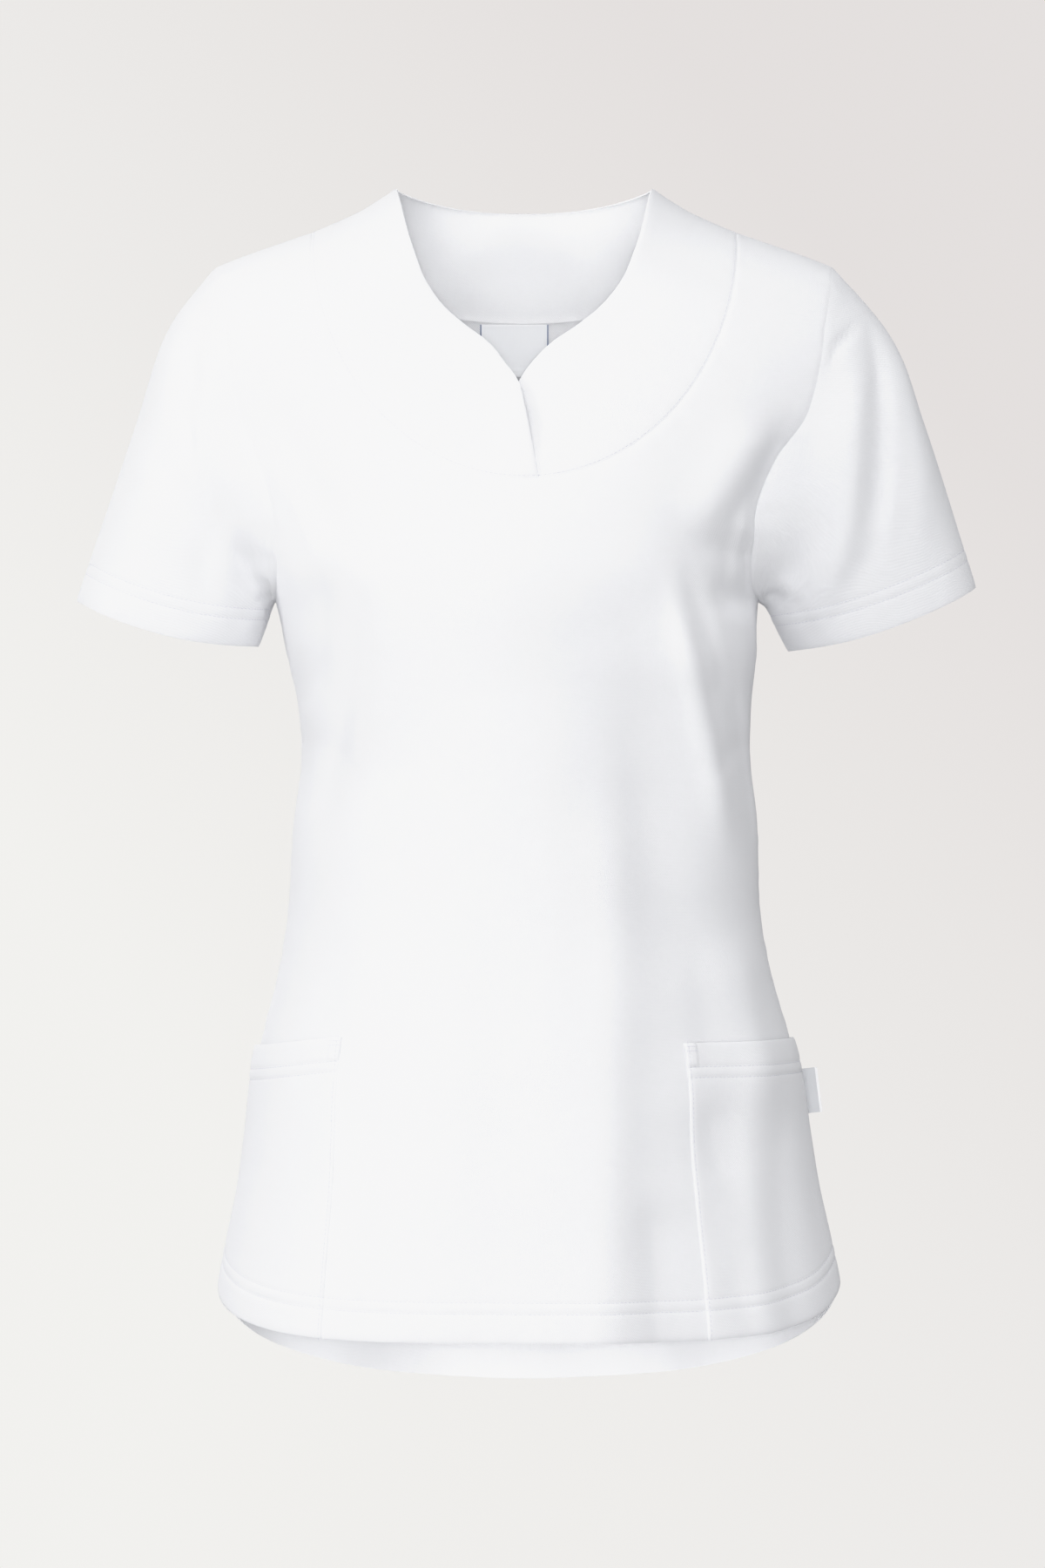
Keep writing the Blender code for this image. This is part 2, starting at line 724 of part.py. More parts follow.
def make_seams():
    """Every seam that two panels share, with matching samples where seams meet."""
    seams = {"yoke_front": seam_on("front", yoke_places("front"))}
    seams["yoke_back"] = seam_on("back", yoke_places("back"))
    for sign, end in ((-1, 0), (1, -1)):
        seams["side", sign] = side_seam(sign)
        seams["shoulder", sign] = seam_on("front", outer_shoulder("front", sign))
        seams["yoke_shoulder", sign] = seam_on("front", yoke_shoulder("front", sign))
        seams["yoke_back"].match_end(end, seams["yoke_front"], end)
        holes = [seam_on(side, armhole_places(side, sign)) for side in ("front", "back")]
        points = np.concatenate([holes[0].points[::-1], holes[1].points[1:-1]])
        body_way = np.concatenate([holes[0].normals[::-1], holes[1].normals[1:-1]])
        body_way[ARMHOLE_STEPS] = seams["side", sign].normals[-1]
        sleeve = Sleeve("left" if sign > 0 else "right", points)
        sleeve_way = tube_normals(sleeve.rows(SLEEVE_ALONG))[0]
        shared = unit(body_way + sleeve_way)
        hole = Seam(points, shared, closed=True)
        hole.mitre = 1 / np.clip((shared * body_way).sum(-1), 0.4, 1)
        seams["armhole", sign] = hole
        seams["sleeve", sign] = sleeve
        seams["side", sign].match_end(-1, hole, ARMHOLE_STEPS)
        seams["shoulder", sign].match_end(-1, hole, 0)
    return seams


def armhole_samples(side):
    """The armhole loop's samples on one panel, from the armpit to the shoulder tip."""
    if side == "front":
        return list(range(ARMHOLE_STEPS, -1, -1))
    return list(range(ARMHOLE_STEPS, 2 * ARMHOLE_STEPS)) + [0]


def body_net():
    """Point numbers of the panel's main part and its two straps, which share their joining row."""
    main = numbered((ROWS, LAST + 1))
    straps = {}
    count = main.size
    for sign in (-1, 1):
        row = main[-1, : YOKE_AT + 1] if sign < 0 else main[-1, ::-1][: YOKE_AT + 1]
        rest = count + numbered((ARMHOLE_STEPS, YOKE_AT + 1))
        straps[sign] = np.concatenate([row[None], rest])
        count += rest.size
    return main, straps


def body_panel(side, seams):
    main, straps = body_net()
    places = [body_places(side).reshape(-1, 2)]
    places += [strap_places(side, sign)[1:].reshape(-1, 2) for sign in (-1, 1)]
    places = np.concatenate(places)
    points = body_form(side, places[:, 0], places[:, 1])
    faces = quads(main) + quads(straps[-1]) + quads(straps[1][:, ::-1])
    panel = Panel(points, body_normals(side, places), faces)
    right, left = straps[-1], straps[1]
    base = main[:, YOKE_AT : LAST - YOKE_AT + 1]
    edge = np.concatenate([right[:0:-1, -1], base[-1], left[1:, -1]])
    inside = np.concatenate([right[:0:-1, -2], base[-2], left[1:, -2]])
    panel.sew(edge, inside, seams["yoke_" + side])
    for sign, strap in straps.items():
        panel.sew(strap[-1, ::-1], strap[-2, ::-1], seams["shoulder", sign])
        panel.sew(strap[:, 0], strap[:, 1], seams["armhole", sign].pick(armhole_samples(side)))
        at, beside = (0, 1) if sign < 0 else (-1, -2)
        panel.sew(main[:, at], main[:, beside], seams["side", sign])
    thick = np.full(len(places), CLOTH)
    thick[main[: HEM_ROWS + 1]] = HEM_CLOTH
    panel.build(side, thick)
    return panel


def build_sleeve(name, seams):
    sign = 1 if name == "left" else -1
    rows = seams["sleeve", sign].rows(SLEEVE_ALONG)
    net = numbered(rows.shape[:2])
    panel = Panel(rows, tube_normals(rows), quads(net, closed=True))
    panel.sew(net[0], net[1], seams["armhole", sign])
    thick = np.full(rows.shape[:2], CLOTH)
    thick[SLEEVE_ALONG >= SLEEVE_HEM_FROM] = HEM_CLOTH
    panel.build("sleeve_" + name, thick)


# The yoke


def neck_places(half, high, low, count):
    """Places down the neck edge of a front half, at even steps of real length."""
    z = high - (high - low) * np.linspace(0, 1, 300) ** 2
    return spread(place_of(read(NECK_EDGE, half, z), z), "front", count)


def lap_lift(half, x, z):
    """How the two halves part where they lap, most of all halfway down the slit."""
    sign = 1 if half == "over" else -1
    edge = read(NECK_EDGE, half, z)
    near = ease(1 - (edge - x) * sign / (34 * MM))
    low = ease((-70 * MM - z) / (26 * MM))
    gape = np.exp(-(((z + 126 * MM) / (20 * MM)) ** 2)) * near**2
    return sign * (LAP_LIFT * near * low + LAP_GAPE * gape)


def build_yoke_front(name, half, seams):
    """One front half: yoke seam, neck edge, its shoulder seam and its edge of the slit."""
    sign = 1 if name == "left" else -1
    if half == "over":
        samples = np.arange(0, OVER_END + 1)
    else:
        samples = np.arange(2 * YOKE_STEPS, UNDER_END - 1, -1)
    bottom = yoke_places("front")[samples]
    left = yoke_shoulder("front", sign)
    top = neck_places(half, RIDGE_AT_NECK, NOTCH_Z, len(bottom) - 1)
    slit = neck_places(half, NOTCH_Z, SEAM_END_Z, YOKE_ROWS)[::-1]
    top[0], slit[0], slit[-1] = left[-1], bottom[-1], top[-1]
    places = patch(bottom, top, left, slit)
    points = body_form("front", places[..., 0], places[..., 1])
    net = numbered(places.shape[:2])
    panel = Panel(points, body_normals("front", places), quads(net))
    panel.sew(net[0], net[1], seams["yoke_front"].pick(samples))
    panel.sew(net[:, 0], net[:, 1], seams["yoke_shoulder", sign])
    lift = lap_lift(half, points[..., 0], points[..., 2])
    panel.build("yoke_front_" + name, YOKE_CLOTH, lift)


def build_yoke_back(seams):
    bottom = yoke_places("back")
    left, right = yoke_shoulder("back", -1), yoke_shoulder("back", 1)
    x = NECK_POINT_X * np.sin(np.linspace(-QUARTER, QUARTER, 400))
    rise = ridge(NECK_POINT_X) - BACK_NECK_Z
    z = BACK_NECK_Z + rise * (np.abs(x) / NECK_POINT_X) ** 2.2
    top = spread(place_of(x, z), "back", len(bottom) - 1)
    top[0], top[-1] = left[-1], right[-1]
    places = patch(bottom, top, left, right)
    points = body_form("back", places[..., 0], places[..., 1])
    net = numbered(places.shape[:2])
    panel = Panel(points, body_normals("back", places), quads(net))
    panel.sew(net[0], net[1], seams["yoke_back"])
    panel.sew(net[:, 0], net[:, 1], seams["yoke_shoulder", -1])
    panel.sew(net[:, -1], net[:, -2], seams["yoke_shoulder", 1])
    panel.build("yoke_back", YOKE_CLOTH)


# Pockets and labels


def build_pocket(name, front):
    """A pocket from the front panel's own points, moved out, a little open at its mouth."""
    at = POCKET_COLUMN[name]
    columns = slice(0, at + 1) if name == "right" else slice(at, LAST + 1)
    samples = body_net()[0][: MOUTH_ROW + 1, columns]
    up = np.linspace(0, 1, samples.shape[0])[:, None]
    out = np.linspace(0, 1, samples.shape[1])[None, :]
    if name == "right":
        out = 1 - out
    gape = POCKETS[name]["gape"] * ease((up - 0.7) / 0.3) * ease(out / 0.4)
    normals = front.normals[samples]
    inner = front.outer()[samples] + normals * (GAP + gape)[..., None]
    outer = inner + normals * POCKET_CLOTH
    faces = quads(numbered(samples.shape))
    wall("pocket_" + name, outer.reshape(-1, 3), inner.reshape(-1, 3), faces)


def build_label_neck():
    """The blank label that hangs from the back yoke seam, inside."""
    x = np.linspace(LABEL_NECK["from_x"], LABEL_NECK["to_x"], 6) * MM
    z = np.linspace(LABEL_NECK["top_z"], LABEL_NECK["bottom_z"], 5) * MM
    places = place_of(x[None, :], z[:, None])
    points = body_form("back", places[..., 0], places[..., 1])
    normals = body_normals("back", places)
    hang = LABEL_NECK["hang"] * MM * np.linspace(0, 1, 5)[:, None, None]
    outer = (points - normals * (CLOTH + 2 * GAP + hang)).reshape(-1, 3)
    inner = outer - normals.reshape(-1, 3) * LABEL_CLOTH
    wall("label_neck", outer, inner, quads(numbered(places.shape[:2])), LABEL_WHITE, 0.55)


def build_label_side():
    """The blank tab caught in the wearer's left side seam, just below the pocket's mouth."""
    rows = []
    for row in LABEL_SIDE[1:]:
        tab = dict(zip(LABEL_SIDE[0], row))
        z = tab["height"] * MM
        seam = body_form("front", QUARTER, z)[0]
        start = seam + 1.2 * GAP
        x = np.linspace(start, tab["tip_x"] * MM, 4)
        lean = tab["lean"] * MM * np.linspace(0, 1, 4)
        rows.append(np.stack([x, GAP - lean, z + 0 * x], -1))
    outer = np.array(rows)
    outer[..., 2] += LABEL_SIDE_TILT * (outer[..., 0] - outer[:, :1, 0])
    faces = quads(numbered(outer.shape[:2]))
    outer = outer.reshape(-1, 3)
    wall("label_side", outer, outer + [0, LABEL_CLOTH, 0], faces, LABEL_WHITE, 0.55)


def main():
    for obj in list(bpy.data.objects):
        bpy.data.objects.remove(obj, do_unlink=True)
    seams = make_seams()
    front = body_panel("front", seams)
    body_panel("back", seams)
    build_sleeve("left", seams)
    build_sleeve("right", seams)
    build_yoke_front("right", "over", seams)
    build_yoke_front("left", "under", seams)
    build_yoke_back(seams)
    build_pocket("left", front)
    build_pocket("right", front)
    build_label_neck()
    build_label_side()


main()
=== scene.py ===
"""The looks of a white short-sleeved work tunic in pique knit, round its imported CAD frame.

Lengths are in metres and tables in millimetres. +Z is up, the front faces -Y and +X is the wearer's
left. Each piece of cloth is a thin shell on nearly the form that its solid has: the same sections
and seams, sampled more finely, with the small creases, hems, seam valleys and stitches added. The
folds in front on the sleeves, the fall of the pocket mouths, the gape of the lap and the neck
label's length differ a little from the solids.
"""

import math

import bmesh
import bpy
import mathutils
import numpy as np
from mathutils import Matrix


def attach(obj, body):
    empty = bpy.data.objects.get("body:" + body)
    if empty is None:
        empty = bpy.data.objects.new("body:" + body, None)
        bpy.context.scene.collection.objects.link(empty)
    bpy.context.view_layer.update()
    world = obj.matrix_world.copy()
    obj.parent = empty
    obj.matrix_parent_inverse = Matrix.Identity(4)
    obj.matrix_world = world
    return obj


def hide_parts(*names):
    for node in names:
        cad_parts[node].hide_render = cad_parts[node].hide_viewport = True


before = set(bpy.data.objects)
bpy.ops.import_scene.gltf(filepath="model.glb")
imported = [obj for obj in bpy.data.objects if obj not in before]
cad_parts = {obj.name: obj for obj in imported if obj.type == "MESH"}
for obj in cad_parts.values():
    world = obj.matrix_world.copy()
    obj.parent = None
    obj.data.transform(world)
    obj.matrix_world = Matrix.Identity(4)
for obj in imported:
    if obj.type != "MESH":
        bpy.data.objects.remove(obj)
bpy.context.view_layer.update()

MM = 0.001
QUARTER = math.pi / 2

# Sizes shared with the solids, except how the two pocket mouths fall
SHOULDER_ROUND = 75 * MM  # height over which the chest rounds into the shoulder ridge
SIDE_HEM_Z = -666 * MM  # hem height at the side seams
FRONT_HEM_DROP = 28 * MM
BACK_HEM_DROP = 70 * MM
HEM_ROUNDING = 0.05  # rounds the hem over its highest points, as a share of the depth
ARMPIT_Z = -237 * MM
YOKE_HALF_WIDTH = 134 * MM
YOKE_CENTRE_Z = -5 * MM
YOKE_FRONT_DEPTH = 158 * MM
YOKE_BACK_DEPTH = 49.5 * MM
YOKE_BASE_X = 60 * MM  # the yoke's lowest stretch reaches this far to each side
SHOULDER_TIP_X = 195 * MM
NECK_POINT_X = 81 * MM
BACK_NECK_Z = 14 * MM
SEAM_FORWARD = 10 * MM  # how far the shoulder seam lies in front of the ridge at the yoke
NECK_FORWARD = 1.5 * MM
TIP_FORWARD = 4 * MM
RIDGE_AT_NECK = 25 * MM
CHEST_SAG = {"front": 36 * MM, "back": 74 * MM}  # of the row that joins straps to the rest
POCKET_MOUTH_Z = -500 * MM
MOUTH_DROP_LEFT = 11 * MM  # how much lower the wearer's left mouth is, nearly level to its side
MOUTH_FALL_RIGHT = 16 * MM  # how much the wearer's right mouth falls towards its side seam
POCKET_LIFT = 0.3 * MM  # between the front and the pocket on it
POCKET_CLOTH = 1.3 * MM

# How many steps each stretch of cloth is divided into: six for each one of the solids
FINER = 6
ARMHOLE_STEPS = 11 * FINER
SHOULDER_STEPS = 9 * FINER
YOKE_BASE_STEPS = 5 * FINER
YOKE_ROWS = 5 * FINER
POCKET_ROWS = 4 * FINER
BODY_ROWS = 14 * FINER
STRAP_SMOOTHING = 4 * FINER * FINER
SLEEVE_STEPS = 52

# The cloth itself
CLOTH = 0.95 * MM
YOKE_CLOTH = 1.8 * MM  # the yoke is double
POCKET_SKIN = 1.0 * MM
BESIDE_SEAM = 0.36  # where an extra line of points lies beside each seam, as a share of a step
SEAM_SINK = 0.55 * MM  # how deep the cloth turns in at a seam
SEAM_BREADTH = 1.9 * MM

# Relief over a hem, up from its edge: its rounded edge, full band and two sunk rows of stitches
HEM_ROWS_AT = (0, 0.7, 2, 4.5, 8, 12, 15, 17, 18, 19, 20.2, 21.5, 22.8, 24, 25, 26, 27.5, 30)
HEM_RELIEF = (
    ("up", "relief"),
    (0, -0.55),
    (0.7, -0.18),
    (2, 0.12),
    (4.5, 0.30),
    (12, 0.32),
    (15, 0.26),
    (17, 0.05),
    (18, -0.29),
    (19, 0.04),
    (20.2, 0.22),
    (21.5, 0.26),
    (22.8, 0.22),
    (24, 0.02),
    (25, -0.32),
    (26, -0.06),
    (27.5, 0.02),
    (30, 0),
)
HEM_TOP = 30 * MM
SLEEVE_HEM_SHARE = 0.55  # how much of that relief the softer sleeve hems have
HEM_DEPTH_AT = np.array([0, 1, 3, 25, 26]) * MM  # up from the edge
HEM_DEPTHS = np.array([1.1, 1.6, 1.9, 1.9, 0.95]) * MM  # through the turned hem there
HEM_STITCHES = (18.0, 25.0)  # how far above the edge the two rows of stitches run
MOUTH_RELIEF = (
    ("down", "relief"),
    (0, -0.55),
    (0.8, -0.15),
    (2.2, 0.12),
    (5, 0.28),
    (9, 0.30),
    (12, 0.24),
    (14, 0.04),
    (15, -0.28),
    (16, 0.02),
    (17.3, 0.20),
    (18.4, 0.22),
    (19.6, 0.16),
    (20.5, 0.0),
    (21.5, -0.32),
    (22.5, -0.06),
    (24, 0.02),
    (27, 0),
)
MOUTH_ROWS_AT = tuple(row[0] for row in MOUTH_RELIEF[1:])
MOUTH_HEM = 27 * MM
MOUTH_STITCHES = (15.0, 21.5)
NECK_RELIEF = (
    ("in", "relief"),
    (0, -0.65),
    (0.8, -0.22),
    (2.2, 0.05),
    (5, 0.15),
    (10, 0.08),
    (18, 0),
)

# The torso's half sections. Above the armpit the width runs on past the armhole.
BODY = (
    ("height", "half_width", "front_depth", "back_depth"),
    (-745, 209, 136, 130),
    (-670, 195.8, 133, 124),
    (-637, 189.4, 131, 121),
    (-604, 182.4, 130, 117),
    (-571, 177.5, 127.5, 113),
    (-538, 173, 125, 108),
    (-505, 165, 123, 102),
    (-472, 156, 122.5, 96),
    (-439, 150, 122.5, 90),
    (-373, 146, 124, 84),
    (-335, 141.5, 126, 84),
    (-300, 143, 128.5, 89),
    (-270, 148, 131, 94),
    (-237, 152.5, 132, 99),
    (-218, 159.5, 130, 102),
    (-200, 166.5, 126, 103),
    (-177, 178, 119.5, 102.5),
    (-150, 194, 111, 101),
    (-100, 226, 93, 95),
    (-60, 245, 80, 86),
    (-30, 255, 72, 77),
    (0, 262, 66, 66),
    (70, 268, 60, 56),
)

# How far the middle of a section stands off the centre line, towards the wearer's left
SWING = (
    ("height", "shift"),
    (-745, 3.6),
    (-670, 3.3),
    (-560, 2.0),
    (-450, 0),
    (-300, 0),
    (-272, -1.5),
    (-237, -4.5),
    (-160, -3),
    (-100, 0),
    (70, 0),
)

# The shoulder ridge, carried on over the neck where no cloth is
RIDGE = (
    ("across", "height"),
    (0, 100),
    (40, 64),
    (60, 45),
    (81, 25),
    (101, 12),
    (131, -1),
    (159, -11),
    (186, -21),
    (200, -27),
    (230, -40),
)

# The armhole seen from the front and from the back, from the shoulder tip to the armpit
ARMHOLE = (
    ("height", "front", "back"),
    (-62, 187.5, 189),
    (-87, 185, 185),
    (-120, 178, 178),
    (-148, 165, 170),
    (-177, 154, 160),
    (-198, 150.5, 154.5),
    (-218, 149.8, 152),
    (-231, 150.8, 151.3),
    (-237, 152.5, 152.5),
)

# The neck edge of the two front yoke halves. The over half is the wearer's right one.
NECK_EDGE = (
    ("height", "over", "under"),
    (25, -81, 81),
    (-18, -69, 69),
    (-40, -60, 59),
    (-55, -49, 46.5),
    (-66, -36.5, 33),
    (-77, -22, 17),
    (-90, -12, 4),
    (-101, -4.3, -3.5),
    (-118, 0.4, -8),
    (-139, 4.3, -11),
    (-161, 8.7, -13.5),
)
NOTCH_Z = -101 * MM  # where the two halves cross
SEAM_END_Z = -161 * MM  # where each half's edge ends in the yoke seam
OVER_END_X = 8.7 * MM
UNDER_END_X = -13.5 * MM
LAP_LIFT = 1.2 * MM  # the halves part by this much each way where they lap
LAP_GAPE = 3.6 * MM  # and by this much more halfway down the slit, more than in the solids

# Sleeve rings: outer end and underarm end of each ring seen from the front, and its half depth
SLEEVE_RINGS = {
    "left": (
        ("along", "outer_x", "outer_z", "under_x", "under_z", "half_depth"),
        (0.28, 228, -65, 152.5, -240, 59),
        (0.58, 252, -124, 158, -251, 56),
        (1.00, 285, -227, 166.7, -267.5, 46),
    ),
    "right": (
        ("along", "outer_x", "outer_z", "under_x", "under_z", "half_depth"),
        (0.28, 225, -65, 159.5, -240, 59),
        (0.58, 246, -127, 162.5, -250, 56),
        (1.00, 282.7, -235.5, 167.8, -264.6, 46),
    ),
}
CUFF_FRONT_DROP = 8 * MM

# The inner edge of each pocket, as an angle round the section
POCKETS = {
    "left": {"mouth_angle": 36.0, "hem_angle": 34.0, "gape": 1.2 * MM},
    "right": {"mouth_angle": 43.5, "hem_angle": 40.0, "gape": 2.0 * MM},
}

# The labels, both blank
LABEL_NECK = {"from_x": -28.4, "to_x": 15.6, "top_z": -55.2, "bottom_z": -88.0, "hang": 2.5}
LABEL_SIDE = (
    ("height", "tip_x", "lean"),
    (-531, 184.5, 1.5),
    (-540, 185.6, 1.8),
    (-549, 186.8, 2.0),
    (-559, 188.0, 2.2),
)
LABEL_SIDE_TILT = 0.12

# The largest soft folds: a line seen from the front or back, its half breadth and its height
# off the cloth. A negative height is a trough.
FOLD_NAMES = ("side", "x0", "z0", "x1", "z1", "breadth", "height")
FOLDS = (
    ("front", 64, -262, 84, -455, 24, -4.0),
    ("front", 84, -455, 92, -700, 28, -4.5),
    ("front", 82, -206, 133, -418, 15, 5.0),
    ("front", 98, -185, 148, -438, 34, 4.0),
    ("front", 144, -190, 128, -252, 14, -4.0),
    ("front", -98, -216, -136, -405, 17, -3.5),
    ("front", -118, -210, -138, -310, 14, -3.0),
    ("front", 178, -124, 106, -218, 14, -4.0),
    ("front", -172, -100, -110, -215, 15, -2.5),
    ("front", -60, -440, -52, -700, 40, 3.0),
    ("front", 30, -430, 28, -700, 30, 3.0),
    ("back", 60, -150, 78, -360, 30, -4.5),
    ("back", -52, -160, -74, -350, 32, -4.0),
    ("back", 0, -400, 6, -740, 38, -6.0),
    ("back", 105, -430, 128, -715, 30, -5.0),
    ("back", -98, -420, -124, -715, 30, -5.0),
    ("back", 50, -420, 60, -730, 28, 4.0),
    ("back", -48, -420, -58, -730, 28, 4.0),
    ("back", 0, -250, 95, -345, 18, 2.5),
    ("back", 4, -262, -92, -352, 18, 2.5),
)

# The left sleeve has fewer in front than its solid, because its creases take their place
SLEEVE_FOLD_NAMES = ("round0", "along0", "round1", "along1", "breadth", "height")
SLEEVE_FOLDS = {
    "left": (
        (-40, 0.20, -38, 0.98, 22, 3.0),
        (150, 0.10, 112, 0.70, 16, -4.0),
        (40, 0.20, 62, 0.95, 18, -4.5),
        (84, 0.30, 88, 0.98, 20, 3.0),
    ),
    "right": (
        (-46, 0.12, -72, 0.50, 13, -4.5),
        (-84, 0.35, -112, 0.90, 14, -2.4),
        (-60, 0.50, -52, 0.98, 18, 3.0),
        (-146, 0.20, -124, 0.70, 14, -1.2),
        (150, 0.10, 118, 0.70, 16, -4.0),
        (44, 0.20, 58, 0.95, 18, -4.5),
        (88, 0.30, 92, 0.98, 20, 3.0),
    ),
}


# Small creases, on top of the folds that the solids have: a line seen from the front or the back,
# how far it bows out to its right, its half breadth on each side, and its height off the cloth.
# Sixteen rows of the front, on the wearer's left, are rounded results of a fit to the photo's
# shading, some of them changed afterwards. The other rows are listed one by one.
CREASE_NAMES = ("side", "x0", "z0", "x1", "z1", "bow", "left", "right", "height")
CREASES = (
    # the ridge from the bust down to the waist on the wearer's left, crisp on its outer side,
    # with a smaller one that branches off it
    ("front", 88, -212, 126, -400, 2, 8, 5, 4.5),
    ("front", 97, -205, 128, -420, 1, 24, 43, -4.4),
    ("front", 109, -212, 110, -300, -7, 8, 21, 1.6),
    ("front", 96, -205, 127, -300, -1, 5, 6, -2.0),
    ("front", 126, -260, 146, -420, -1, 4, 10, -2.4),
    # drag lines from the wearer's left armhole down to the bust
    ("front", 156, -120, 108, -205, 4, 20, 17, 5.5),
    ("front", 136, -190, 138, -252, -5, 4, 34, -3.1),
    ("front", 168, -118, 146, -214, 0, 24, 14, -5.0),
    ("front", 141, -172, 136, -236, 2, 10, 5, 2.4),
    # the hollow between the busts and the soft falls to the hem
    ("front", 60, -160, 28, -340, 21, 44, 44, -3.5),
    ("front", 60, -200, 81, -420, 17, 44, 44, -4.2),
    ("front", 70, -380, 130, -620, -11, 19, 29, -5.5),
    ("front", 88, -420, 88, -700, -8, 23, 35, 4.0),
    ("front", 57, -260, 51, -700, -3, 18, 19, 3.6),
    ("front", 109, -420, 113, -560, 0, 12, 7, -0.6),
    ("front", 127, -440, 147, -560, 1, 14, 44, 4.5),
    ("front", 115, -540, 167, -700, -5, 44, 44, -5.5),
    ("front", 79, -600, 87, -700, -1, 34, 12, -3.8),
    ("front", 18, -250, 20, -690, 0, 30, 24, 1.2),
    # where the pocket turns to the side, and slack in it
    ("front", 144, -490, 154, -702, 6, 18, 9, 3.2),
    ("front", 162, -535, 170, -690, 4, 9, 12, -1.6),
    ("front", 117, -545, 128, -604, 3, 5, 7, -1.0),
    ("front", 120, -612, 140, -640, -3, 6, 6, 0.8),
    ("front", 126, -650, 152, -694, 4, 6, 8, -1.0),
    ("front", -30, -420, -28, -690, 0, 26, 26, -1.0),
    ("front", -86, -180, -94, -350, 0, 26, 34, 3.0),
    # the wearer's right side
    ("front", -98, -215, -141, -415, -3, 10, 7, -2.0),
    ("front", -122, -206, -143, -316, -2, 7, 8, -1.6),
    ("front", -172, -96, -112, -214, -6, 12, 8, -1.4),
    ("front", -158, -150, -124, -226, -3, 8, 6, 0.9),
    ("front", -112, -430, -128, -560, 0, 12, 14, -0.9),
    # across the waist
    ("front", 146, -322, 110, -352, 4, 6, 8, -0.7),
    ("front", -144, -322, -100, -350, -4, 7, 6, -0.8),
    # the back: pull between the shoulder blades, slack in its hollow and falls to the hem
    ("back", 162, -130, 96, -205, -6, 10, 9, -1.6),
    ("back", -162, -130, -98, -210, 6, 9, 11, -1.7),
    ("back", 150, -188, 100, -250, -4, 7, 9, -1.2),
    ("back", -150, -186, -104, -246, 4, 8, 7, -1.2),
    ("back", -18, -282, 88, -362, 8, 9, 12, -1.7),
    ("back", 10, -300, -96, -372, -8, 12, 9, -1.7),
    ("back", -50, -330, 66, -352, 5, 7, 9, 1.3),
    ("back", 136, -300, 60, -330, 5, 6, 8, -1.2),
    ("back", -138, -296, -56, -322, -5, 8, 6, -1.2),
    ("back", 28, -420, 38, -730, 0, 22, 20, 1.6),
    ("back", -34, -430, -40, -730, 0, 18, 22, 1.4),
    ("back", 96, -400, 118, -715, 2, 16, 20, -1.6),
    ("back", -92, -400, -116, -715, -2, 20, 16, -1.6),
    ("back", 140, -420, 160, -690, 0, 14, 14, 1.0),
    ("back", -138, -420, -158, -690, 0, 14, 14, 1.0),
)

# Creases of the sleeves: degrees round from the top, with the front negative, and the share of
# the way down from the armhole
SLEEVE_CREASE_NAMES = ("round0", "along0", "round1", "along1", "left", "right", "height")
SLEEVE_CREASES = {
    "left": (
        (-22, 0.14, -90, 0.82, 15, 7, -4.6),
        (-46, 0.04, -125, 0.90, 20, 14, 4.0),
        (-6, 0.18, -58, 0.90, 12, 20, 2.6),
        (-60, 0.00, -27, 0.18, 5, 4, -3.0),
        (-88, 0.66, -84, 0.99, 16, 22, -1.6),
        (-150, 0.16, -132, 0.66, 6, 7, 1.4),
        (-164, 0.14, -146, 0.52, 5, 6, -1.6),
        (120, 0.12, 96, 0.60, 9, 12, -2.2),
        (150, 0.10, 128, 0.52, 7, 8, 1.4),
        (30, 0.06, 44, 0.45, 10, 12, -1.8),
        (70, 0.30, 76, 0.97, 12, 14, -1.6),
    ),
    "right": (
        (-34, 0.04, -54, 0.36, 7, 10, -1.8),
        (-62, 0.26, -86, 0.72, 9, 12, -1.8),
        (-76, 0.24, -70, 0.60, 9, 9, 1.2),
        (-108, 0.18, -98, 0.86, 10, 9, -1.4),
        (-140, 0.10, -118, 0.52, 7, 9, -1.6),
        (-156, 0.14, -138, 0.58, 6, 7, 1.2),
        (120, 0.12, 98, 0.60, 9, 12, -2.0),
        (150, 0.10, 130, 0.52, 7, 8, 1.3),
        (30, 0.06, 46, 0.45, 10, 12, -1.7),
        (66, 0.30, 74, 0.97, 12, 14, -1.6),
    ),
}

# Reading tables and smooth curves


def column(table, name):
    """One named column of a table whose first row names its columns."""
    place = table[0].index(name)
    return np.array([row[place] for row in table[1:]], float)


def curve(at, knots, values):
    """A smooth curve through the values at their knots."""
    at = np.clip(np.asarray(at, float), knots[0], knots[-1])
    slope = np.gradient(values, knots)
    i = np.clip(np.searchsorted(knots, at, side="right") - 1, 0, len(knots) - 2)
    span = knots[i + 1] - knots[i]
    t = (at - knots[i]) / span
    rise = values[i] * (1 + 2 * t) * (1 - t) ** 2 + values[i + 1] * t * t * (3 - 2 * t)
    lean = slope[i] * t * (1 - t) ** 2 - slope[i + 1] * t * t * (1 - t)
    return rise + lean * span


def read(table, name, at, along="height"):
    """A named column in metres, at places in metres along another column."""
    knots, values = column(table, along), column(table, name)
    if knots[0] > knots[-1]:
        knots, values = knots[::-1], values[::-1]
    return curve(np.asarray(at) / MM, knots, values) * MM


def ease(t):
    """Rises smoothly from 0 to 1."""
    t = np.clip(t, 0, 1)
    return t * t * (3 - 2 * t)


def unit(v):
    return v / np.maximum(np.linalg.norm(v, axis=-1, keepdims=True), 1e-12)


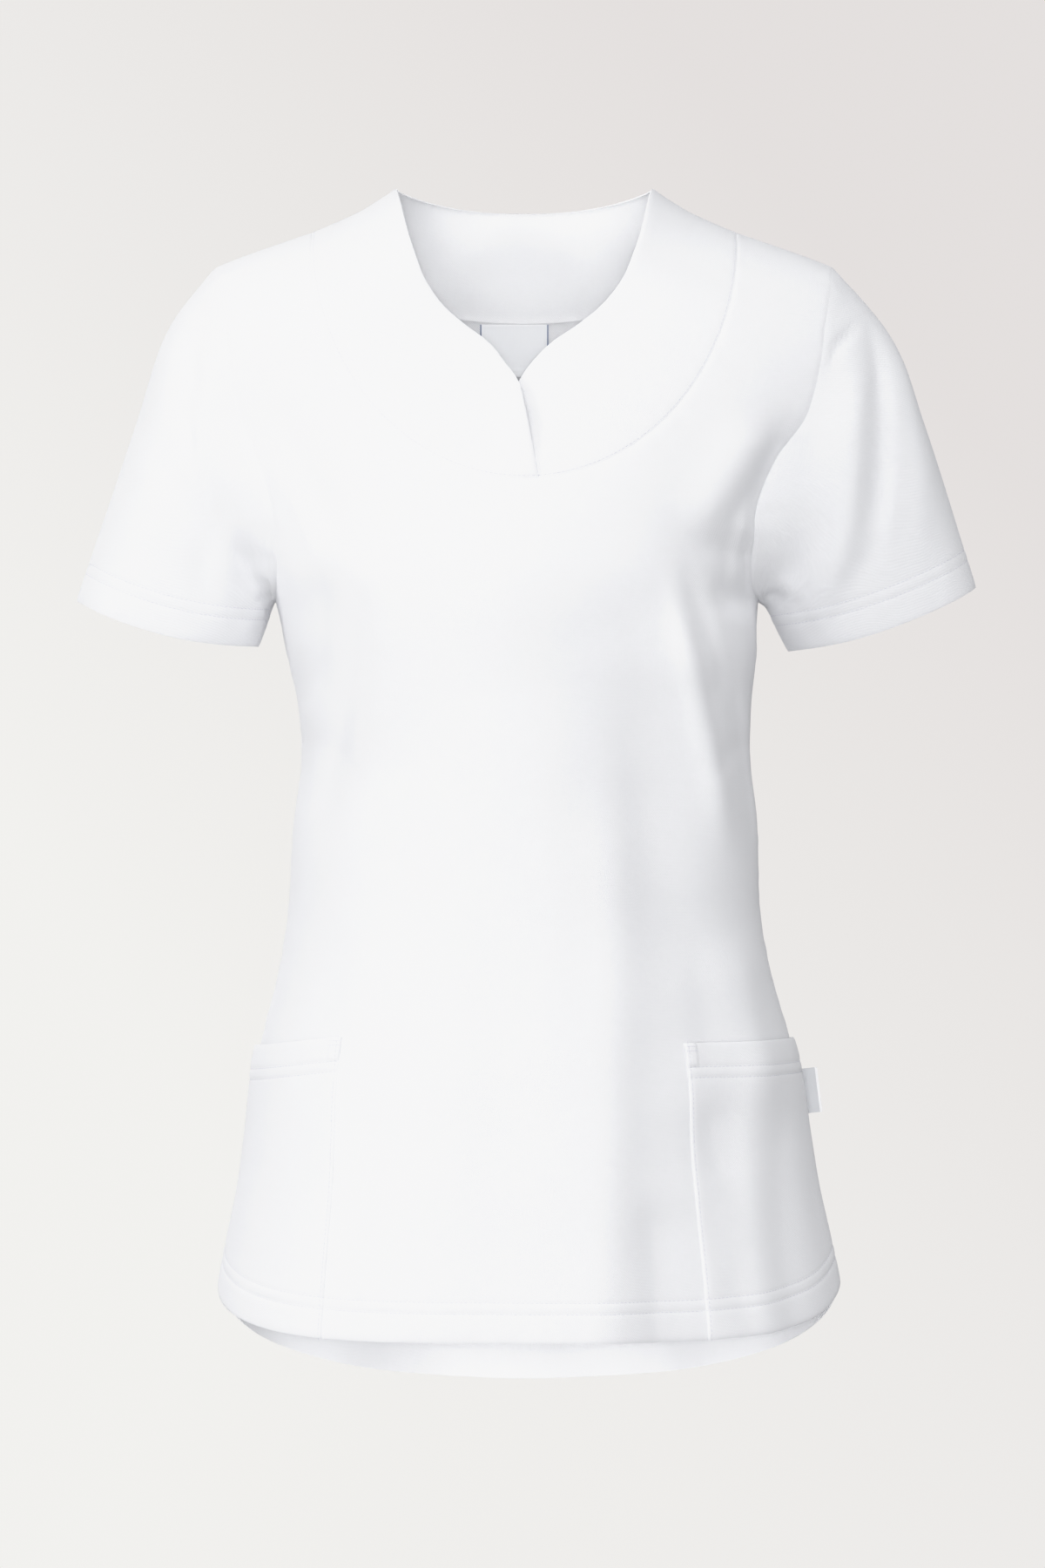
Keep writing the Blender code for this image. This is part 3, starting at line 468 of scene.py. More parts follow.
def at_steps(values, steps, axis=0):
    """Values read at steps along one axis, some of them between two samples."""
    steps = np.asarray(steps, float)
    low = np.clip(np.floor(steps).astype(int), 0, values.shape[axis] - 2)
    share = (steps - low).reshape([-1 if k == axis else 1 for k in range(values.ndim)])
    return values.take(low, axis) * (1 - share) + values.take(low + 1, axis) * share


def table_read(table, name, along, at):
    """A named column in metres, read straight between the rows, at places in metres."""
    return np.interp(at, column(table, along) * MM, column(table, name) * MM)


# The body's form. A place on it is its angle round the section, 0 at the centre and a quarter
# turn at each side seam, and its reach, which is the height up to where the shoulder rounds over
# and the distance along the curve from there on.


def ridge(x):
    return read(RIDGE, "height", np.abs(x), "across")


def uneven_spots(seed, count, across, up, breadth, length, height):
    """Soft spots that keep a stretch of cloth from being perfectly even."""
    rng = np.random.default_rng(seed)
    spots = [rng.uniform(*span, count) for span in (across, up, breadth, length)]
    return np.stack([*spots, rng.normal(0, height, count)], -1)


CREASE_FADE = 0.3  # the share of its length over which a crease fades in and out
FOLD_FADE = 0.35
CREASE_TO_HEM = -680  # a crease that ends lower than this runs on into the hem
FOLD_TO_HEM = -690
UNEVEN = {
    "front": uneven_spots(11, 110, (-205, 205), (-700, -40), (12, 38), (25, 110), 0.30),
    "back": uneven_spots(12, 110, (-205, 205), (-740, -40), (12, 38), (25, 110), 0.36),
}


def beside_line(x, z, fold):
    """How far along a fold's line points lie, times its length, how far off it, and the length."""
    start = np.array([fold["x0"], fold["z0"]]) * MM
    run = np.array([fold["x1"], fold["z1"]]) * MM - start
    length = np.hypot(*run)
    along = (x - start[0]) * run[0] + (z - start[1]) * run[1]
    off = ((x - start[0]) * run[1] - (z - start[1]) * run[0]) / length
    return along, off, length


def crease(x, z, fold, at_hem):
    """The share of a crease's height at each point."""
    along, off, length = beside_line(x, z, fold)
    along = along / length**2
    off = off - 4 * fold["bow"] * MM * along * (1 - along)
    breadth = np.where(off < 0, fold["left"], fold["right"]) * MM
    fade = ease(along / CREASE_FADE)
    if not at_hem:
        fade = fade * ease((1 - along) / CREASE_FADE)
    return np.exp(-((off / breadth) ** 2)) * fade


def small_relief(side, x, z):
    """How far the small creases and the unevenness lift the cloth here."""
    total = np.zeros(np.broadcast(x, z).shape)
    for row in CREASES:
        fold = dict(zip(CREASE_NAMES, row))
        if fold["side"] == side:
            total += fold["height"] * MM * crease(x, z, fold, fold["z1"] < CREASE_TO_HEM)
    for across, up, breadth, length, height in UNEVEN[side] * MM:
        total += height * np.exp(-(((x - across) / breadth) ** 2) - ((z - up) / length) ** 2)
    return total


def fold_height(side, x, z):
    """How far the soft folds lift the cloth here."""
    total = small_relief(side, x, z)
    for row in FOLDS:
        fold = dict(zip(FOLD_NAMES, row))
        if fold["side"] != side:
            continue
        along, off, length = beside_line(x, z, fold)
        along = along / length
        fade = ease(along / (FOLD_FADE * length))
        if not fold["z1"] < FOLD_TO_HEM:
            fade = fade * ease((length - along) / (FOLD_FADE * length))
        total += fold["height"] * MM * np.exp(-((off / (fold["breadth"] * MM)) ** 2)) * fade
    return total


def body_form(side, angle, reach):
    """The cloth's outer face at an angle and a reach, on the front or the back."""
    angle, reach = np.broadcast_arrays(np.asarray(angle, float), np.asarray(reach, float))
    wide = read(BODY, "half_width", reach)
    x = read(SWING, "shift", reach) + wide * np.sin(angle)
    top = ridge(x)
    turn = np.clip((reach - (top - SHOULDER_ROUND)) / SHOULDER_ROUND, 0, QUARTER)
    z = np.where(turn > 0, top - SHOULDER_ROUND * (1 - np.sin(turn)), reach)
    deep = read(BODY, side + "_depth", z)
    facing = -1 if side == "front" else 1
    y = facing * deep * np.cos(angle) * np.cos(turn)
    out = np.stack([np.sin(angle) * deep, facing * np.cos(angle) * wide], -1)
    out = unit(out) * (fold_height(side, x, z) * np.cos(turn) * seam_calm(angle, z))[..., None]
    return np.stack([x + out[..., 0], y + out[..., 1], z], -1)


def seam_calm(angle, z):
    """Holds folds down at the side seams, where front and back share the cloth's edge."""
    return ease((QUARTER - np.abs(angle)) / 0.25) * ease(-z / (60 * MM))


def place_of(x, z):
    """The angle and reach of a point seen from the front."""
    x, z = np.broadcast_arrays(np.asarray(x, float), np.asarray(z, float))
    below = np.clip((ridge(x) - z) / SHOULDER_ROUND, 0, 1)
    over = ridge(x) - SHOULDER_ROUND + SHOULDER_ROUND * np.arcsin(1 - below)
    reach = np.where(below < 1, over, z)
    share = (x - read(SWING, "shift", reach)) / read(BODY, "half_width", reach)
    return np.stack([np.arcsin(np.clip(share, -1, 1)), reach], -1)


SLOPE_STEPS = (1e-4, 1e-5)  # the small turn and reach over which slopes are taken


def normals_of(form, places):
    """The outward direction of a form at places, from its slopes."""
    a, b = places[..., 0], places[..., 1]
    da = form(a + SLOPE_STEPS[0], b) - form(a - SLOPE_STEPS[0], b)
    db = form(a, b + SLOPE_STEPS[1]) - form(a, b - SLOPE_STEPS[1])
    return unit(np.cross(da, db))


def body_normals(side, places):
    held = places.copy()
    held[..., 0] = np.clip(held[..., 0], -QUARTER + 2e-3, QUARTER - 2e-3)
    found = normals_of(lambda a, h: body_form(side, a, h), held)
    return found if side == "front" else -found


# Seams: the samples that two panels share


class Seam:
    """Samples along a seam and their shared outward directions."""

    def __init__(self, points, normals):
        self.points = points
        self.normals = normals
        self.mitre = np.ones(len(points))

    def pick(self, samples):
        """Some of the samples, in the order asked for."""
        piece = Seam(self.points[samples], self.normals[samples])
        piece.mitre = self.mitre[samples]
        return piece

    def at(self, steps):
        """The seam read at steps that may lie between its samples."""
        piece = Seam(at_steps(self.points, steps), unit(at_steps(self.normals, steps)))
        piece.mitre = at_steps(self.mitre, steps)
        return piece

    def match_end(self, end, other, sample):
        """Takes one end's point and outward direction from the seam that it meets there."""
        self.points[end] = other.points[sample]
        self.normals[end] = other.normals[sample]
        self.mitre[end] = other.mitre[sample]


def spread(places, side, count):
    """Places at even steps of real length along a fine line of places."""
    solid = body_form(side, places[:, 0], places[:, 1])
    steps = np.linalg.norm(np.diff(solid, axis=0), axis=1)
    gone = np.concatenate([[0], np.cumsum(steps)])
    want = np.linspace(0, gone[-1], count + 1)
    return np.stack([np.interp(want, gone, places[:, k]) for k in (0, 1)], -1)


def shoulder_place(x, forward):
    """A place on the front form a given distance in front of the ridge."""
    deep = read(BODY, "front_depth", ridge(x))
    flat = place_of(x, ridge(x))
    turn = np.arccos(np.clip(forward / (deep * np.cos(flat[..., 0])), 0, 1))
    reach = ridge(x) - SHOULDER_ROUND + SHOULDER_ROUND * turn
    share = (x - read(SWING, "shift", reach)) / read(BODY, "half_width", reach)
    return np.stack([np.arcsin(share), reach], -1)


def under_ridge(x):
    """A place on the back form just short of the ridge."""
    return place_of(x, ridge(x) - 0.2 * MM)


def armhole_places(side, sign):
    """Places along one armhole, from the armpit up to the shoulder tip."""
    rows = np.arange(len(ARMHOLE) - 1, dtype=float)
    fine = np.linspace(rows[-1], 0, 300)
    z = curve(fine, rows, column(ARMHOLE, "height")) * MM
    x = curve(fine, rows, column(ARMHOLE, side)) * MM
    line = place_of(sign * x + read(SWING, "shift", z), z)
    line[0] = (sign * QUARTER, ARMPIT_Z)
    tip = sign * SHOULDER_TIP_X
    tip = shoulder_place(tip, TIP_FORWARD) if side == "front" else under_ridge(tip)
    return spread(np.concatenate([line, tip[None]]), side, ARMHOLE_STEPS)


def yoke_turns():
    """Where the yoke seam's samples lie on its half ellipse, from the wearer's right.

    Two of them are where the front halves end: the under half's, then the over half's.
    """
    under = math.asin(UNDER_END_X / YOKE_HALF_WIDTH)
    over = math.asin(OVER_END_X / YOKE_HALF_WIDTH)
    base = math.asin(YOKE_BASE_X / YOKE_HALF_WIDTH)
    open_steps = YOKE_BASE_STEPS - FINER
    stretches = [
        np.linspace(-QUARTER, -base, ARMHOLE_STEPS + 1)[:-1],
        np.linspace(-base, under, open_steps + 1)[:-1],
        np.linspace(under, over, 2 * FINER + 1)[:-1],
        np.linspace(over, base, open_steps + 1)[:-1],
        np.linspace(base, QUARTER, ARMHOLE_STEPS + 1),
    ]
    return np.concatenate(stretches)


YOKE_STEPS = ARMHOLE_STEPS + YOKE_BASE_STEPS  # from the shoulder seam to the centre
UNDER_END = YOKE_STEPS - FINER
OVER_END = YOKE_STEPS + FINER


def yoke_places(side):
    """Places along the yoke seam, from the wearer's right shoulder round to the left one."""
    turns = yoke_turns()
    depth = YOKE_FRONT_DEPTH if side == "front" else YOKE_BACK_DEPTH
    places = place_of(YOKE_HALF_WIDTH * np.sin(turns), YOKE_CENTRE_Z - depth * np.cos(turns))
    for end, sign in ((0, -1), (-1, 1)):
        x = sign * YOKE_HALF_WIDTH
        places[end] = shoulder_place(x, SEAM_FORWARD) if side == "front" else under_ridge(x)
    return places


def shoulder_places(side, sign, near, far, steps, forward):
    """Places along a stretch of shoulder seam, from the neck side outwards."""
    x = sign * np.linspace(near, far, steps + 1)
    if side == "back":
        return under_ridge(x)
    return shoulder_place(x, np.linspace(forward[0], forward[1], steps + 1))


def outer_shoulder(side, sign):
    forward = (SEAM_FORWARD, TIP_FORWARD)
    return shoulder_places(side, sign, YOKE_HALF_WIDTH, SHOULDER_TIP_X, SHOULDER_STEPS, forward)


def yoke_shoulder(side, sign):
    """Places along the yoke's own shoulder seam, from the yoke seam in to the neck."""
    forward = (SEAM_FORWARD, NECK_FORWARD)
    return shoulder_places(side, sign, YOKE_HALF_WIDTH, NECK_POINT_X, YOKE_ROWS, forward)


def seam_on(side, places):
    return Seam(body_form(side, places[:, 0], places[:, 1]), body_normals(side, places))


# Sleeves


class Sleeve:
    """A sleeve's form: from the armhole loop through its rings to the cuff."""

    def __init__(self, name, loop):
        self.name = name
        self.sign = 1 if name == "left" else -1
        self.loop = loop  # armhole points: tip, down the front, armpit, and up the back
        steps = np.linalg.norm(np.roll(loop, -1, axis=0) - loop, axis=1)
        front = np.concatenate([[0], np.cumsum(steps[:ARMHOLE_STEPS])])
        back = np.concatenate([[0], np.cumsum(steps[ARMHOLE_STEPS:])])
        turns = np.concatenate([front / front[-1], 1 + back[1:-1] / back[-1]])
        self.turns = -math.pi * turns
        self.table = SLEEVE_RINGS[name]

    def ring(self, row):
        """The points of one ring of the table, one for each armhole sample."""
        ring = dict(zip(self.table[0], row))
        outer = np.array([self.sign * ring["outer_x"], 0, ring["outer_z"]]) * MM
        under = np.array([self.sign * ring["under_x"], 0, ring["under_z"]]) * MM
        across, forward = np.cos(self.turns), np.sin(self.turns)
        points = (outer + under) / 2 + across[:, None] * (outer - under) / 2
        points[:, 1] += ring["half_depth"] * MM * forward
        if ring["along"] == 1:
            points[:, 2] -= CUFF_FRONT_DROP * np.clip(-forward, 0, 1) ** 2
        return points

    def rows(self, along):
        """Rows of points at shares of the way from armhole to cuff, folds and all."""
        along = np.asarray(along, float).reshape(len(along), -1)
        along = np.broadcast_to(along, (len(along), len(self.turns)))
        knots = np.concatenate([[0], column(self.table, "along")])
        stack = np.stack([self.loop] + [self.ring(row) for row in self.table[1:]])
        rows = np.empty(along.shape + (3,))
        for line in range(along.shape[1]):
            for axis in range(3):
                rows[:, line, axis] = curve(along[:, line], knots, stack[:, line, axis])
        return rows + tube_normals(rows) * self.fold(along)[..., None]

    def shares(self):
        """Shares of the way down for each line of points, close together over the hem."""
        dense = np.linspace(0, 1, 160)
        step = np.linalg.norm(np.diff(self.rows(dense), axis=0), axis=2)
        gone = np.concatenate([np.zeros((1, step.shape[1])), np.cumsum(step, axis=0)])
        lines = []
        for line in gone.T:
            squeeze = min(1, (line[-1] - 4 * MM) / HEM_TOP)
            hem = line[-1] - squeeze * np.array(HEM_ROWS_AT[::-1]) * MM
            plain = np.linspace(0, hem[0], SLEEVE_STEPS + 1)[:-1]
            down = np.concatenate([[0, BESIDE_SEAM * plain[1]], plain[1:], hem])
            lines.append(np.interp(down, line, dense))
        return np.stack(lines, 1)

    def fold(self, along):
        """How far the folds and small creases lift the sleeve at shares of its length."""
        total = 0 * along
        place = np.degrees(self.turns)[None]
        rows = [dict(zip(SLEEVE_FOLD_NAMES, row)) for row in SLEEVE_FOLDS[self.name]]
        for fold in rows:
            fold["left"] = fold["right"] = fold["breadth"]
        small = SLEEVE_CREASES[self.name]
        rows += [dict(zip(SLEEVE_CREASE_NAMES, row)) for row in small]
        for fold in rows:
            share = (along - fold["along0"]) / (fold["along1"] - fold["along0"])
            middle = fold["round0"] + (fold["round1"] - fold["round0"]) * share
            off = (place - middle + 180) % 360 - 180
            breadth = np.where(off < 0, fold["left"], fold["right"])
            fade = ease(share / FOLD_FADE) * ease(along / 0.08)
            if fold["along1"] < 0.95:
                fade = fade * ease((1 - share) / FOLD_FADE)
            total += fold["height"] * MM * np.exp(-((off / breadth) ** 2)) * fade
        return total


def tube_normals(rows):
    """Outward directions on rows of points that close round a tube."""
    round_way = np.roll(rows, -1, axis=1) - np.roll(rows, 1, axis=1)
    found = unit(np.cross(round_way, np.gradient(rows, axis=0)))
    outward = rows - rows.mean(axis=1, keepdims=True)
    return found * np.sign((outward * found).sum())


# Where a point lies on the flat cloth: along the section from its middle, and up


FLAT_ANGLES = np.radians(np.arange(-90, 91, 2.0))
FLAT_REACHES = np.arange(-760, 111, 15.0) * MM


def section_lengths(side):
    """The length along each section from its middle to each angle, on the form without folds."""
    angle, reach = np.meshgrid(FLAT_ANGLES, FLAT_REACHES)
    wide = read(BODY, "half_width", reach)
    deep = read(BODY, side + "_depth", reach)
    step = np.hypot(np.diff(wide * np.sin(angle)), np.diff(deep * np.cos(angle)))
    gone = np.concatenate([np.zeros((len(FLAT_REACHES), 1)), np.cumsum(step, axis=1)], axis=1)
    return gone - gone[:, [len(FLAT_ANGLES) // 2]]


SECTION_LENGTHS = {side: section_lengths(side) for side in ("front", "back")}


def flat_of(side, places):
    """The cloth's own coordinates in metres at places on the body's form."""
    table = SECTION_LENGTHS[side]
    a = np.interp(places[..., 0], FLAT_ANGLES, np.arange(len(FLAT_ANGLES)))
    r = np.interp(places[..., 1], FLAT_REACHES, np.arange(len(FLAT_REACHES)))
    i = np.clip(a.astype(int), 0, len(FLAT_ANGLES) - 2)
    j = np.clip(r.astype(int), 0, len(FLAT_REACHES) - 2)
    s, t = a - i, r - j
    low = table[j, i] * (1 - s) + table[j, i + 1] * s
    high = table[j + 1, i] * (1 - s) + table[j + 1, i + 1] * s
    return np.stack([low * (1 - t) + high * t, places[..., 1]], -1)


# Shells


CRISP = math.radians(55)  # edges that turn by more than this stay sharp


def add_object(name, data):
    obj = bpy.data.objects.new(name, data)
    bpy.context.collection.objects.link(obj)
    return obj


def shell(name, outer, inner, flat, faces, material):
    """A thin closed shell: an outer skin, an inner one, and a rim along every free edge."""
    count = len(outer)
    faces = np.asarray(faces)
    edges = np.concatenate([faces[:, [k, (k + 1) % 4]] for k in range(4)])
    known = {(a, b) for a, b in edges.tolist()}
    free = np.array([(a, b) for a, b in known if (b, a) not in known])
    rim = np.stack([free[:, 1], free[:, 0], free[:, 0] + count, free[:, 1] + count], -1)
    skin = np.concatenate([faces, faces[:, ::-1] + count, rim])
    mesh = bpy.data.meshes.new(name)
    mesh.from_pydata(np.concatenate([outer, inner]).tolist(), [], skin.tolist())
    work = bmesh.new()
    work.from_mesh(mesh)
    bmesh.ops.recalc_face_normals(work, faces=work.faces)
    work.to_mesh(mesh)
    work.free()
    corner = np.empty(len(mesh.loops), int)
    mesh.loops.foreach_get("vertex_index", corner)
    uv = mesh.uv_layers.new(name="cloth")
    uv.data.foreach_set("uv", np.concatenate([flat, flat])[corner].astype(np.float32).ravel())
    mesh.shade_smooth()
    mesh.set_sharp_from_angle(angle=CRISP)
    mesh.materials.append(material)
    return add_object(name, mesh)


def quads(net, closed=False):
    """The faces of a net of point numbers, by rows and columns."""
    if closed:
        net = np.concatenate([net, net[:, :1]], axis=1)
    corners = [net[:-1, :-1], net[:-1, 1:], net[1:, 1:], net[1:, :-1]]
    return np.stack(corners, -1).reshape(-1, 4)


def numbered(shape):
    return np.arange(shape[0] * shape[1]).reshape(shape)


def beside(steps, at):
    """Whole steps with one more line of points beside each of the given ones."""
    extra = []
    for edge in at:
        extra += [edge - BESIDE_SEAM, edge + BESIDE_SEAM]
    lines = np.concatenate([np.arange(steps + 1), extra])
    return np.unique(lines[(lines >= 0) & (lines <= steps)])


def distance_to(points, line):
    """How far each point is from the nearest sample of a line, and which sample that is."""
    tree = mathutils.kdtree.KDTree(len(line))
    for number, sample in enumerate(line):
        tree.insert(sample, number)
    tree.balance()
    found = [tree.find(point)[1:] for point in points]
    number, gap = np.array(found).T
    return gap, number.astype(int)


def wander(along, seed, wave=17 * MM):
    """A smooth uneven wave along a seam, between about -1 and 1."""
    rng = np.random.default_rng(seed)
    total = np.zeros(len(along))
    for share in (0.72, 1.0, 1.46):
        total += np.sin(along * math.tau * share / wave + rng.uniform(0, math.tau))
    return total / 2.2


PUCKERS = {  # how high the cloth puckers along each seam, in millimetres, and its wave's seed
    "body_yoke": (0.28, 5),
    "body_shoulder": (0.2, 6),
    "body_armhole": (0.42, 7),
    "body_side": (0.25, 10),
    "sleeve_armhole": (0.5, 20),
    "yoke_front": (0.22, 30),
    "yoke_back": (0.2, 36),
    "yoke_shoulder": (0.15, 33),
}


class Panel:
    """The outer points, outward directions, cloth coordinates and faces of one panel."""

    def __init__(self, points, normals, flat, faces):
        self.points = points.reshape(-1, 3).copy()
        self.normals = normals.reshape(-1, 3).copy()
        self.flat = flat.reshape(-1, 2)
        self.mitre = np.ones(len(self.points))
        self.lift = np.zeros(len(self.points))
        self.sunk = np.zeros(len(self.points))
        self.faces = faces

    def sew(self, edge, seam, kind, turn=0, reach=11 * MM):
        """Puts an edge on a seam, sinks the cloth along it and puckers it a little."""
        pucker, seed = PUCKERS[kind]
        self.points[edge] = seam.points
        self.normals[edge] = seam.normals
        self.mitre[edge] = seam.mitre
        gap, nearest = distance_to(self.points, seam.points)
        self.sunk = np.maximum(self.sunk, np.exp(-((gap / SEAM_BREADTH) ** 2)))
        step = np.linalg.norm(np.diff(seam.points, axis=0), axis=1)
        along = np.concatenate([[0], np.cumsum(step)])[nearest]
        near = np.exp(-((gap / reach) ** 2)) * (1 - np.exp(-((gap / (2.5 * MM)) ** 2)))
        self.lift += pucker * MM * wander(along, seed + turn) * near

    def outer(self):
        lift = self.lift * (1 - self.sunk) - SEAM_SINK * self.sunk
        return self.points + self.normals * lift[:, None]

    def build(self, name, thick, material):
        outer = self.outer()
        depth = (np.ravel(thick) * self.mitre)[:, None]
        self.inner = outer - self.normals * depth
        return shell(name, outer, self.inner, self.flat, self.faces, material)


def panel_on(side, places, faces):
    """A panel of cloth at places on the body's form."""
    points = body_form(side, places[..., 0], places[..., 1])
    return Panel(points, body_normals(side, places), flat_of(side, places), faces)


# The body panels


def between(first, last, shares):
    """Rows of places from one line of places to another."""
    return first[None] + (last - first)[None] * np.asarray(shares)[:, None, None]


def hem_z(side, angle):
    """The hem's height round the body: highest at the sides, lower in front, lowest behind."""
    inward = np.sqrt(np.cos(angle) ** 2 + HEM_ROUNDING**2) - HEM_ROUNDING
    if side == "front":
        return SIDE_HEM_Z - FRONT_HEM_DROP * (1 - np.clip(1 - inward / 0.85, 0, 1) ** 1.8)
    return SIDE_HEM_Z - BACK_HEM_DROP * (1 - np.clip(1 - inward / 0.95, 0, 1) ** 1.15)


def mouth_z(angle):
    """The height of the pocket mouths, carried on round the body as a row of points."""
    drop = MOUTH_DROP_LEFT * ease(angle / 0.6)
    fall = MOUTH_FALL_RIGHT * np.sin(np.minimum(angle, 0)) ** 2
    return POCKET_MOUTH_Z - drop - fall


YOKE_AT = SHOULDER_STEPS  # the step where the yoke's lowest stretch begins
LAST = 2 * (SHOULDER_STEPS + YOKE_BASE_STEPS)
POCKET_COLUMN = {"right": 7 * FINER, "left": LAST - 6 * FINER}
COLUMNS = beside(LAST, (0, YOKE_AT, LAST - YOKE_AT, LAST))
STRAP_ROWS = beside(ARMHOLE_STEPS, (0, ARMHOLE_STEPS))
STRAP_COLUMNS = COLUMNS[COLUMNS <= YOKE_AT]


def patch(bottom, top, left, right):
    """A net of places filled in between four lines of places."""
    u = np.linspace(0, 1, len(bottom))[None, :, None]
    v = np.linspace(0, 1, len(left))[:, None, None]
    across = left[:, None] * (1 - u) + right[:, None] * u
    along = bottom[None] * (1 - v) + top[None] * v
    corners = (bottom[0] * (1 - u) + bottom[-1] * u) * (1 - v)
    corners = corners + (top[0] * (1 - u) + top[-1] * u) * v
    return across + along - corners


def strap_places(side, sign):
    """The places between armhole and yoke: rows going up, columns from the armhole inwards."""
    hole = armhole_places(side, sign)
    yoke = yoke_places(side)
    yoke = yoke[ARMHOLE_STEPS::-1] if sign < 0 else yoke[-1 - ARMHOLE_STEPS :]
    shoulder = outer_shoulder(side, sign)[::-1]
    share = np.linspace(0, 1, SHOULDER_STEPS + 1)
    low = between(hole[:1], yoke[:1], share)[:, 0]
    low[:, 1] -= 4 * CHEST_SAG[side] * share * (1 - share)
    net = patch(low, shoulder, hole, yoke)
    for _ in range(STRAP_SMOOTHING):
        aside = net[1:-1, :-2] + net[1:-1, 2:]
        net[1:-1, 1:-1] = (net[:-2, 1:-1] + net[2:, 1:-1] + aside) / 4
    return net


def chest_line(side, straps):
    """The upper edge of the panel's main part: armpit, yoke and armpit."""
    base = yoke_places(side)[ARMHOLE_STEPS:-ARMHOLE_STEPS]
    return np.concatenate([straps[-1][0, :-1], base, straps[1][0, ::-1][1:]])


def low_angles(top_angles, key):
    """Column angles lower down: nearly even, and exact at the pockets' inner edges."""
    mixed = 0.6 * np.linspace(-QUARTER, QUARTER, LAST + 1) + 0.4 * top_angles
    marks = [0, POCKET_COLUMN["right"], POCKET_COLUMN["left"], LAST]
    right, left = (math.radians(POCKETS[name][key]) for name in ("right", "left"))
    return np.interp(mixed, mixed[marks], [-QUARTER, -right, left, QUARTER])


def hem_places(hem, mouth):
    """Rows of places over the hem, at their heights above its edge."""
    up = np.array(HEM_ROWS_AT) * MM
    share = up[:, None] / (mouth[:, 1] - hem[:, 1])[None]
    return hem[None] + (mouth - hem)[None] * share[..., None]


def body_places(side, straps):
    """Rows of places from the hem up to the chest line."""
    top = chest_line(side, straps)
    mouth_angle = low_angles(top[:, 0], "mouth_angle")
    hem_angle = low_angles(top[:, 0], "hem_angle")
    hem = np.stack([hem_angle, hem_z(side, hem_angle)], -1)
    mouth = np.stack([mouth_angle, mouth_z(mouth_angle)], -1)
    turned = hem_places(hem, mouth)
    chest = between(mouth, top, beside(BODY_ROWS, (BODY_ROWS,)) / BODY_ROWS)
    below = between(turned[-1], mouth, np.linspace(0, 1, POCKET_ROWS + 1)[1:-1])
    return np.concatenate([turned, below, chest])


class Body:
    """The places of the front or the back: its main part and its two straps."""

    def __init__(self, side):
        self.side = side
        straps = {sign: strap_places(side, sign) for sign in (-1, 1)}
        self.main = at_steps(body_places(side, straps), COLUMNS, axis=1)
        self.straps = {}
        for sign, net in straps.items():
            self.straps[sign] = at_steps(at_steps(net, STRAP_ROWS), STRAP_COLUMNS, axis=1)
        self.number()

    def number(self):
        """Point numbers of the three nets, which share their joining row."""
        self.main_net = numbered(self.main.shape[:2])
        self.strap_nets = {}
        count = self.main_net.size
        wide = len(STRAP_COLUMNS)
        for sign in (-1, 1):
            row = self.main_net[-1, :wide] if sign < 0 else self.main_net[-1, ::-1][:wide]
            rest = count + numbered((len(STRAP_ROWS) - 1, wide))
            self.strap_nets[sign] = np.concatenate([row[None], rest])
            count += rest.size

    def places(self):
        parts = [self.main] + [self.straps[sign][1:] for sign in (-1, 1)]
        return np.concatenate([part.reshape(-1, 2) for part in parts])

    def faces(self):
        nets = [self.main_net, self.strap_nets[-1], self.strap_nets[1][:, ::-1]]
        return np.concatenate([quads(net) for net in nets])


def side_seam(body, sign):
    """The side seam's samples, from the hem to the armpit, shared by front and back."""
    places = body.main[:, 0 if sign < 0 else -1]
    points = body_form("front", places[:, 0], places[:, 1])
    slope = np.gradient(points[:, 0], points[:, 2])
    normals = np.stack([np.full(len(points), sign), 0 * slope, -sign * slope], -1)
    return Seam(points, unit(normals))


def make_seams(front):
    """Every seam that two panels share, with matching samples where seams meet."""
    seams = {"yoke_front": seam_on("front", yoke_places("front"))}
    seams["yoke_back"] = seam_on("back", yoke_places("back"))
    for sign, end in ((-1, 0), (1, -1)):
        seams["side", sign] = side_seam(front, sign)
        seams["shoulder", sign] = seam_on("front", outer_shoulder("front", sign))
        seams["yoke_shoulder", sign] = seam_on("front", yoke_shoulder("front", sign))
        seams["yoke_back"].match_end(end, seams["yoke_front"], end)
        holes = [seam_on(side, armhole_places(side, sign)) for side in ("front", "back")]
        points = np.concatenate([holes[0].points[::-1], holes[1].points[1:-1]])
        body_way = np.concatenate([holes[0].normals[::-1], holes[1].normals[1:-1]])
        body_way[ARMHOLE_STEPS] = seams["side", sign].normals[-1]
        sleeve = Sleeve("left" if sign > 0 else "right", points)
        sleeve_way = tube_normals(sleeve.rows(sleeve.shares()))[0]
        shared = unit(body_way + sleeve_way)
        hole = Seam(points, shared)
        hole.mitre = 1 / np.clip((shared * body_way).sum(-1), 0.4, 1)
        seams["armhole", sign] = hole
        seams["sleeve", sign] = sleeve
        seams["side", sign].match_end(-1, hole, ARMHOLE_STEPS)
        seams["shoulder", sign].match_end(-1, hole, 0)
    return seams


def armhole_samples(side):
    """The armhole loop's samples on one panel, from the armpit to the shoulder tip."""
    if side == "front":
        return list(range(ARMHOLE_STEPS, -1, -1))
    return list(range(ARMHOLE_STEPS, 2 * ARMHOLE_STEPS)) + [0]


def hem_lift(heights):
    """The hem's relief on rows of points at their heights above the edge."""
    return table_read(HEM_RELIEF, "relief", "up", heights)


